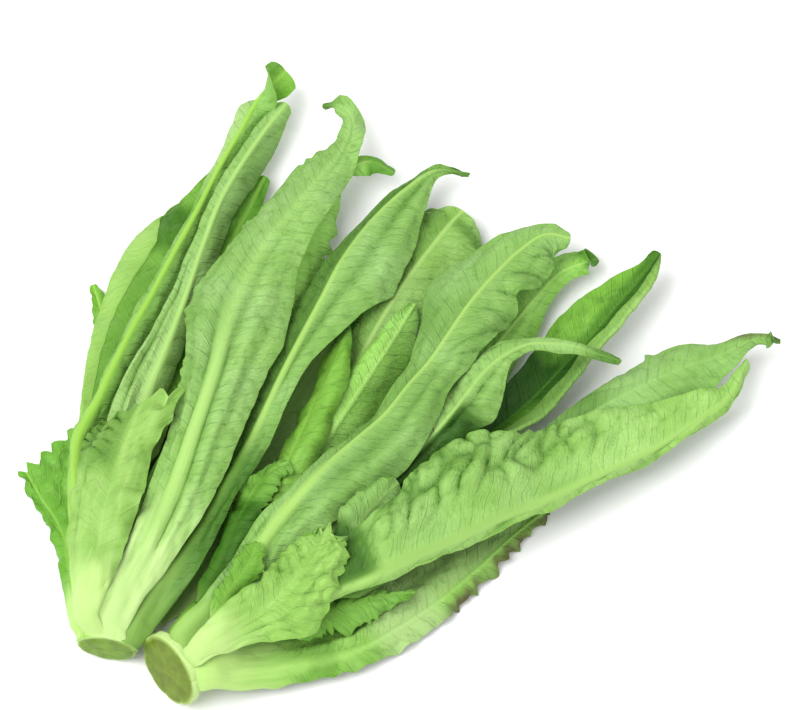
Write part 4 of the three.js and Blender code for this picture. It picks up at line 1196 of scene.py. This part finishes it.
def leaf_finish(name, colours, skin):
    """The finish of one face of a leaf."""
    body, rib_colour, stalk = colours
    roughness, depth = skin
    deep, vein, pale = ([part * share for part, share in zip(body, by)] for by in (DEEPER, VEINED, PALER))
    material, wires, shader = new_material(name)
    veins = wires.node("ShaderNodeGroup", node_tree=shared_group("leaf_veins", leaf_veins_group)).outputs
    tissue = wires.node("ShaderNodeGroup", node_tree=shared_group("leaf_tissue", leaf_tissue_group)).outputs
    # The mask layer holds the rib, the stalk and the painted shade; the next holds browning, painted light and
    # painted shade in hollows
    on_rib, on_neck, painted_shade_areas = wires.attribute("leaf_mask")
    along, across, margin = wires.attribute("leaf_place")
    browned, painted_light_areas, painted_crease_shade = wires.attribute("leaf_browning_painted_light_and_shade")

    # The blade: patches and bloom, then its veins up to where it is fleshy, then its edge and browned parts
    tone = wires.mix(wires.times(wires.fade(tissue["Patches"], 0.3, 0.7), 0.5), body, deep)
    tone = wires.mix(wires.times(tissue["Bloom"], 0.45), tone, pale)
    blade = wires.fade_out(on_neck, 0.2, 0.6)
    for kind, strength, shade in (("Net", 0.18, deep), ("Lines", 0.26, deep), ("Laterals", 0.2, vein)):
        tone = wires.mix(wires.times(wires.times(veins[kind], strength), blade), tone, shade)
    at_edge, near_edge = wires.fade_out(margin, 0.1, 1.6), wires.fade_out(margin, 0.5, 8.0)
    tone = wires.mix(wires.times_plus(near_edge, 0.22, wires.times(at_edge, 0.25)), tone, deep)
    tone = wires.mix(wires.times(browned, wires.fade(tissue["Patches"], 0.25, 0.6)), tone, BROWNED)

    # The stalk, which ends in uneven tongues, and the rib
    tongues = wires.noise(wires.vector(wires.times(along, 0.03), wires.times(across, 0.3), 0.0), 1.0, 2.0)
    fleshy = wires.fade(wires.times_plus(wires.minus(tongues, 0.5), 0.9, on_neck), 0.25, 0.95)
    tone = wires.mix(fleshy, tone, stalk)
    tone = wires.mix(wires.times(on_rib, wires.minus(1.0, wires.times(fleshy, 0.7))), tone, rib_colour)

    # Painted light and painted shade: paler areas, shade in the hollows of puckers and pleats, and shaded areas
    tone = wires.mix(wires.math("MINIMUM", painted_light_areas, 1.0), tone, PAINTED_LIGHT_COLOUR)
    tone = wires.tint(wires.times(painted_crease_shade, 0.85), tone, SHADED)
    tone = wires.tint(wires.math("MINIMUM", painted_shade_areas, 1.0), tone, SHADED)
    wires.feed(shader.inputs["Base Color"], wires.tint(wires.fade(painted_shade_areas, 1.0, 2.0), tone, SHADED))
    rough = wires.times_plus(wires.minus(tissue["Grain"], 0.5), 0.2, roughness)
    wires.feed(shader.inputs["Roughness"], rough)

    # Veins stand up from the blade, and the rib and the stalk have fine lengthwise streaks
    height = wires.times(veins["Laterals"], 1.15)
    height = wires.times_plus(veins["Net"], 0.45, height)
    height = wires.times_plus(veins["Lines"], -0.5, height)
    height = wires.times(height, wires.times(wires.minus(1.0, on_rib), blade))
    height = wires.times_plus(tissue["Grain"], 0.35, height)
    streaks = wires.noise(wires.vector(wires.times(along, 0.04), wires.times(across, 1.6), 0.0), 1.0, 2.0)
    height = wires.times_plus(wires.times(streaks, wires.math("MAXIMUM", on_rib, fleshy)), 0.9, height)
    give_skin(wires, shader, height, depth, 0.12, (0.002, 0.003, 0.001), 0.18)
    return material


def shared_group(name, maker):
    """The node group of that name, made the first time it is asked for."""
    return bpy.data.node_groups.get(name) or maker()


def shared_finish(name, maker, *values):
    """The material of that name, made the first time it is asked for."""
    return bpy.data.materials.get(name) or maker(name, *values)


def put_in_scene(name, mesh):
    """An object with that mesh, in the scene."""
    piece = bpy.data.objects.new(name, mesh)
    bpy.context.scene.collection.objects.link(piece)
    return piece


_neighbours = []


def neighbours():
    """The room between the solids, measured once for all leaves."""
    if not _neighbours:
        _neighbours.append(Neighbours())
    return _neighbours[0]


def make_leaves(leaves):
    """Makes a fine piece for each leaf of a list and lets it stand for the leaf's node."""
    settings = bpy.context.scene.achoy_leaves
    values = {"blade_half": settings.blade_thickness / MM / 2, "neck_length": settings.neck_length / MM}
    for leaf in leaves:
        mesh = leaf_mesh(leaf, neighbours(), values)
        under = leaf["looks"]
        upper = leaf.get("upper_looks", under)
        for name, colours, skin in (("underside_" + under, UNDERSIDES[under], UNDERSIDE_SKIN),
                                    ("upper_side_" + upper, UPPER_SIDES[upper], UPPER_SKIN)):
            mesh.materials.append(shared_finish(name, leaf_finish, colours, skin))
        piece = put_in_scene(leaf["name"] + "_sheet", mesh)
        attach(piece, "root")
        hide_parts(leaf["name"])


def stem_mesh(name, stem):
    """A stem with its cut face, the bases of its leaves round the cut, and the core that they grow from."""
    corners = corners_of(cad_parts[name])
    axis, leftward, level = stem_directions(stem)
    aside = corners @ leftward
    middle = (aside.max() + aside.min()) / 2
    foot = axis * (corners @ axis).min() + leftward * middle + np.array([0, 0, level])
    sides, size, lean = FINE_STEM_SIDES, stem["radius"], stem["lean"]
    turn = np.arange(sides) / sides * 2 * math.pi
    flat = 0 * turn
    rng = np.random.default_rng(stem["seed"])
    jitter = rng.uniform(-0.22, 0.22, BASES_ROUND_CUT)
    bases = np.sort((np.arange(BASES_ROUND_CUT) + jitter) / BASES_ROUND_CUT * 2 * math.pi)
    away = np.abs((turn[:, None] - bases[None, :] + math.pi) % (2 * math.pi) - math.pi).min(axis=1)
    scallop = np.cos(np.clip(away / (math.pi / BASES_ROUND_CUT), 0, 1) * math.pi / 2) ** 0.5
    face = np.concatenate([np.linspace(0.02, 0.9, 16), [0.95, 0.985]])
    flank = np.concatenate([[0.35, 1.0, 2.0, 3.5], np.linspace(5, CORE_LENGTH, 34)])
    radii, places, spots = [], [], []
    for ring in face:
        dome = 0.5 * (1 - ring ** 2) + 0.12 * drift(ring * 1.3 + flat, turn / 2, stem["seed"])
        painted_rib_shade = 0.7 * (1 - scallop) ** 2 * smooth(flat + ring, 0.6, 0.95)
        lip = 0.35 * smooth(flat + ring, 0.9, 1.0)
        radii.append(ring * stem["core"] * size * (1 - 0.05 * (1 - scallop) * ring ** 3))
        places.append(lip + painted_rib_shade - dome + STEM_FACE_FORWARD)
        spots.append((flat, turn * size, flat + ring))
    for place in flank:
        bulge = 0.05 * (1 - scallop) * (1 - smooth(flat + place, 10, 40))
        radii.append(stem["core"] * stem_radius(stem, place) * (1 - bulge) - (0.35 if place < 0.5 else 0))
        places.append(flat + place + STEM_FACE_FORWARD)
        spots.append((flat + place, turn * size, flat + 1))
    radius, behind = np.array(radii), np.array(places)
    leaning = lean * (radius * np.sin(turn) * STEM_FLATTENING + 0.4 * size)
    behind = behind + leaning * (1 - smooth(behind, 3, 26))
    grid = foot + behind[..., None] * axis + (radius * np.cos(turn))[..., None] * leftward
    grid[..., 2] = np.maximum(grid[..., 2] + radius * np.sin(turn) * STEM_FLATTENING, 0.0)
    hub = foot + axis * (0.05 + 0.4 * lean * size)
    points = np.concatenate([grid.reshape(-1, 3), [hub], [foot + axis * CORE_LENGTH]])
    count = len(grid) * sides
    index = np.arange(count).reshape(-1, sides)
    following = np.roll(index, -1, axis=1)
    quads = np.stack([index[:-1], index[1:], following[1:], following[:-1]], axis=-1).reshape(-1, 4)
    faces = quads.tolist()
    faces += [[count, int(a), int(b)] for a, b in zip(index[0], following[0])]
    faces += [[count + 1, int(b), int(a)] for a, b in zip(index[-1], following[-1])]
    spot = np.stack([np.array([s[k] for s in spots]) for k in range(3)], axis=-1).reshape(-1, 3)
    spot = np.concatenate([spot, [[0, 0, 0]], [[CORE_LENGTH, 0, 1]]])
    return fine_mesh(name, points, faces, {"stem_place": spot}, SHARP_STEM_ANGLE)


def stem_finish(name, cut, rim, flank):
    """Pale flank with lengthwise fibres, and a cut face with its ring of bases and its pith."""
    material, wires, shader = new_material(name)
    behind, around, outward = wires.attribute("stem_place")
    place = wires.node("ShaderNodeTexCoord").outputs["Object"]
    blotches = wires.noise(place, 160.0, 4.0)
    fine = wires.noise(place, 900.0, 3.0)
    pith = wires.mix(wires.fade(blotches, 0.35, 0.65), cut, [0.72 * part for part in cut])
    face = wires.mix(wires.fade(outward, 0.86, 1.0), pith, rim)
    fibres = wires.noise(wires.vector(wires.times(behind, 0.05), around, 0.0), 1.3, 3.0)
    side = wires.mix(wires.times(wires.fade(fibres, 0.35, 0.7), 0.5), flank, rim)
    on_flank = wires.fade(behind, 0.0, 0.6)
    wires.feed(shader.inputs["Base Color"], wires.mix(on_flank, face, side))
    wires.feed(shader.inputs["Roughness"], wires.times_plus(fine, 0.2, 0.35))
    height = wires.times_plus(fine, 0.5, wires.times(fibres, on_flank))
    give_skin(wires, shader, height, 0.0003, 0.2, (0.003, 0.004, 0.0015), 0.2)
    return material


def soft_light(name, place, power):
    """A square area light turned to the middle of the frame."""
    light = bpy.data.lights.new(name, "AREA")
    light.size = LIGHT_SIZE
    light.energy = power
    lamp = bpy.data.objects.new(name, light)
    lamp.location = place
    lamp.rotation_euler = (-Vector(place)).to_track_quat("-Z", "Y").to_euler()
    bpy.context.scene.collection.objects.link(lamp)


class AChoyLeafSettings(bpy.types.PropertyGroup):
    """Sizes shared by all leaves."""
    blade_thickness: bpy.props.FloatProperty(
        name="Blade Thickness", description="Thickness of a leaf's blade between its veins",
        default=0.0006, min=0.0003, max=0.001, unit="LENGTH", precision=4)
    neck_length: bpy.props.FloatProperty(
        name="Neck Length", description="How far up from the stem a leaf stays pale",
        default=0.085, min=0.0, max=0.2, unit="LENGTH")


class AChoyStemSettings(bpy.types.PropertyGroup):
    """Colours of the cut stems."""
    left_cut: bpy.props.FloatVectorProperty(
        name="Left Cut", description="Colour of the left stem's cut face",
        default=(0.165, 0.305, 0.018), min=0, max=1, subtype="COLOR")
    right_cut: bpy.props.FloatVectorProperty(
        name="Right Cut", description="Colour of the right stem's cut face",
        default=(0.155, 0.235, 0.017), min=0, max=1, subtype="COLOR")
    rim: bpy.props.FloatVectorProperty(
        name="Rim", description="Colour of the leaf bases round the cut",
        default=(0.35, 0.50, 0.13), min=0, max=1, subtype="COLOR")
    flank: bpy.props.FloatVectorProperty(
        name="Flank", description="Colour of the stem's side",
        default=(0.48, 0.65, 0.25), min=0, max=1, subtype="COLOR")


class AChoyStageSettings(bpy.types.PropertyGroup):
    """The camera, floor and light."""
    elevation: bpy.props.FloatProperty(
        name="Camera Elevation", description="Angle of the camera above the horizon",
        default=math.radians(65), min=0, max=math.pi / 2, subtype="ANGLE")
    distance: bpy.props.FloatProperty(
        name="Camera Distance", description="Distance from the camera to the middle of the picture",
        default=9.0, min=0.5, unit="LENGTH")
    picture_width: bpy.props.FloatProperty(
        name="Picture Width", description="Width of what the picture takes in",
        default=0.432, min=0.05, unit="LENGTH")
    floor: bpy.props.FloatVectorProperty(
        name="Floor", description="Colour of the floor",
        default=(0.97, 0.97, 0.965), min=0, max=1, subtype="COLOR")
    surround: bpy.props.FloatProperty(
        name="Surround Light", description="Strength of the light from all round", default=0.68, min=0)
    key: bpy.props.FloatProperty(
        name="Key Light", description="Power of the main light", default=120.0, min=0, unit="POWER")
    fill: bpy.props.FloatProperty(
        name="Fill Light", description="Power of the light opposite the main one",
        default=30.0, min=0, unit="POWER")


class ACHOY_OT_under_leaves(bpy.types.Operator):
    """Makes the leaves underneath, which carry both heads"""
    bl_idname = "achoy.under_leaves"
    bl_label = "Leaves Underneath"

    def execute(self, context):
        make_leaves(UNDER_LEAVES)
        return {"FINISHED"}


class ACHOY_OT_left_head(bpy.types.Operator):
    """Makes the leaves of the left head"""
    bl_idname = "achoy.left_head"
    bl_label = "Left Head"

    def execute(self, context):
        make_leaves(LEFT_HEAD)
        return {"FINISHED"}


class ACHOY_OT_middle_leaves(bpy.types.Operator):
    """Makes the leaves between the heads"""
    bl_idname = "achoy.middle_leaves"
    bl_label = "Middle Leaves"

    def execute(self, context):
        make_leaves(MIDDLE_LEAVES)
        return {"FINISHED"}


class ACHOY_OT_right_head(bpy.types.Operator):
    """Makes the leaves of the right head"""
    bl_idname = "achoy.right_head"
    bl_label = "Right Head"

    def execute(self, context):
        make_leaves(RIGHT_HEAD)
        return {"FINISHED"}


class ACHOY_OT_stems(bpy.types.Operator):
    """Makes both stems with their cut faces"""
    bl_idname = "achoy.stems"
    bl_label = "Cut Stems"

    def execute(self, context):
        settings = context.scene.achoy_stems
        for name, stem in STEMS.items():
            cut = settings.left_cut if name == "left_stem" else settings.right_cut
            colours = [tuple(part) for part in (cut, settings.rim, settings.flank)]
            mesh = stem_mesh(name, stem)
            mesh.materials.append(stem_finish(name + "_finish", *colours))
            piece = put_in_scene(name + "_cut", mesh)
            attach(piece, "root")
            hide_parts(name)
        return {"FINISHED"}


class ACHOY_OT_stage(bpy.types.Operator):
    """Makes the camera, the pale floor and the soft light"""
    bl_idname = "achoy.stage"
    bl_label = "Stage"

    def execute(self, context):
        scene = context.scene
        stage = scene.achoy_stage
        lens = bpy.data.cameras.new("camera")
        lens.sensor_width = SENSOR_WIDTH
        lens.lens = lens.sensor_width * stage.distance / stage.picture_width
        camera = bpy.data.objects.new("camera", lens)
        reach = Vector((0, -math.cos(stage.elevation), math.sin(stage.elevation))) * stage.distance
        camera.location = Vector(PICTURE_MIDDLE) + reach
        camera.rotation_euler = (math.pi / 2 - stage.elevation, 0, 0)
        scene.collection.objects.link(camera)
        scene.camera = camera
        mesh = bpy.data.meshes.new("floor")
        square = (-1, -1), (1, -1), (1, 1), (-1, 1)
        corners = [(FLOOR_HALF * x, FLOOR_HALF * y, FLOOR_LEVEL) for x, y in square]
        mesh.from_pydata(corners, [], [(0, 1, 2, 3)])
        material, wires, shader = new_material("pale_floor")
        grain = wires.noise(wires.node("ShaderNodeTexCoord").outputs["Object"], 40.0, 3.0)
        pale = tuple(stage.floor)
        wires.feed(shader.inputs["Base Color"], wires.mix(grain, pale, [0.985 * c for c in pale]))
        shader.inputs["Roughness"].default_value = 0.9
        mesh.materials.append(material)
        floor = put_in_scene("floor", mesh)
        soft_light("key_light", KEY_PLACE, stage.key)
        soft_light("fill_light", FILL_PLACE, stage.fill)
        world = bpy.data.worlds.new("studio")
        world.use_nodes = True
        background = world.node_tree.nodes["Background"]
        background.inputs["Color"].default_value = (1, 1, 1, 1)
        background.inputs["Strength"].default_value = stage.surround
        scene.world = world
        scene.view_settings.view_transform = "Standard"
        return {"FINISHED"}


class ACHOY_PT_bunch(bpy.types.Panel):
    """Lists what makes the bunch"""
    bl_idname = "ACHOY_PT_bunch"
    bl_label = "A-choy Bunch"
    bl_space_type = "VIEW_3D"
    bl_region_type = "UI"
    bl_category = "A-choy"

    def draw(self, context):
        layout = self.layout
        scene = context.scene
        for step in STEPS:
            layout.operator(step.bl_idname)
        stage_names = "elevation", "distance", "picture_width", "floor", "surround", "key", "fill"
        for owner, names in ((scene.achoy_leaves, ("blade_thickness", "neck_length")),
                             (scene.achoy_stems, ("left_cut", "right_cut", "rim", "flank")),
                             (scene.achoy_stage, stage_names)):
            for name in names:
                layout.prop(owner, name)


STEPS = (ACHOY_OT_stage, ACHOY_OT_stems, ACHOY_OT_under_leaves, ACHOY_OT_left_head, ACHOY_OT_middle_leaves,
         ACHOY_OT_right_head)
SETTINGS = {
    "achoy_leaves": AChoyLeafSettings,
    "achoy_stems": AChoyStemSettings,
    "achoy_stage": AChoyStageSettings,
}


def register():
    for group in SETTINGS.values():
        bpy.utils.register_class(group)
    for step in (*STEPS, ACHOY_PT_bunch):
        bpy.utils.register_class(step)
    for name, group in SETTINGS.items():
        setattr(bpy.types.Scene, name, bpy.props.PointerProperty(type=group))


def unregister():
    for name in SETTINGS:
        delattr(bpy.types.Scene, name)
    for step in reversed((*STEPS, ACHOY_PT_bunch)):
        bpy.utils.unregister_class(step)
    for group in SETTINGS.values():
        bpy.utils.unregister_class(group)


def main():
    register()
    bpy.ops.achoy.stage()
    bpy.ops.achoy.stems()
    bpy.ops.achoy.under_leaves()
    bpy.ops.achoy.left_head()
    bpy.ops.achoy.middle_leaves()
    bpy.ops.achoy.right_head()


if __name__ == "__main__":
    main()
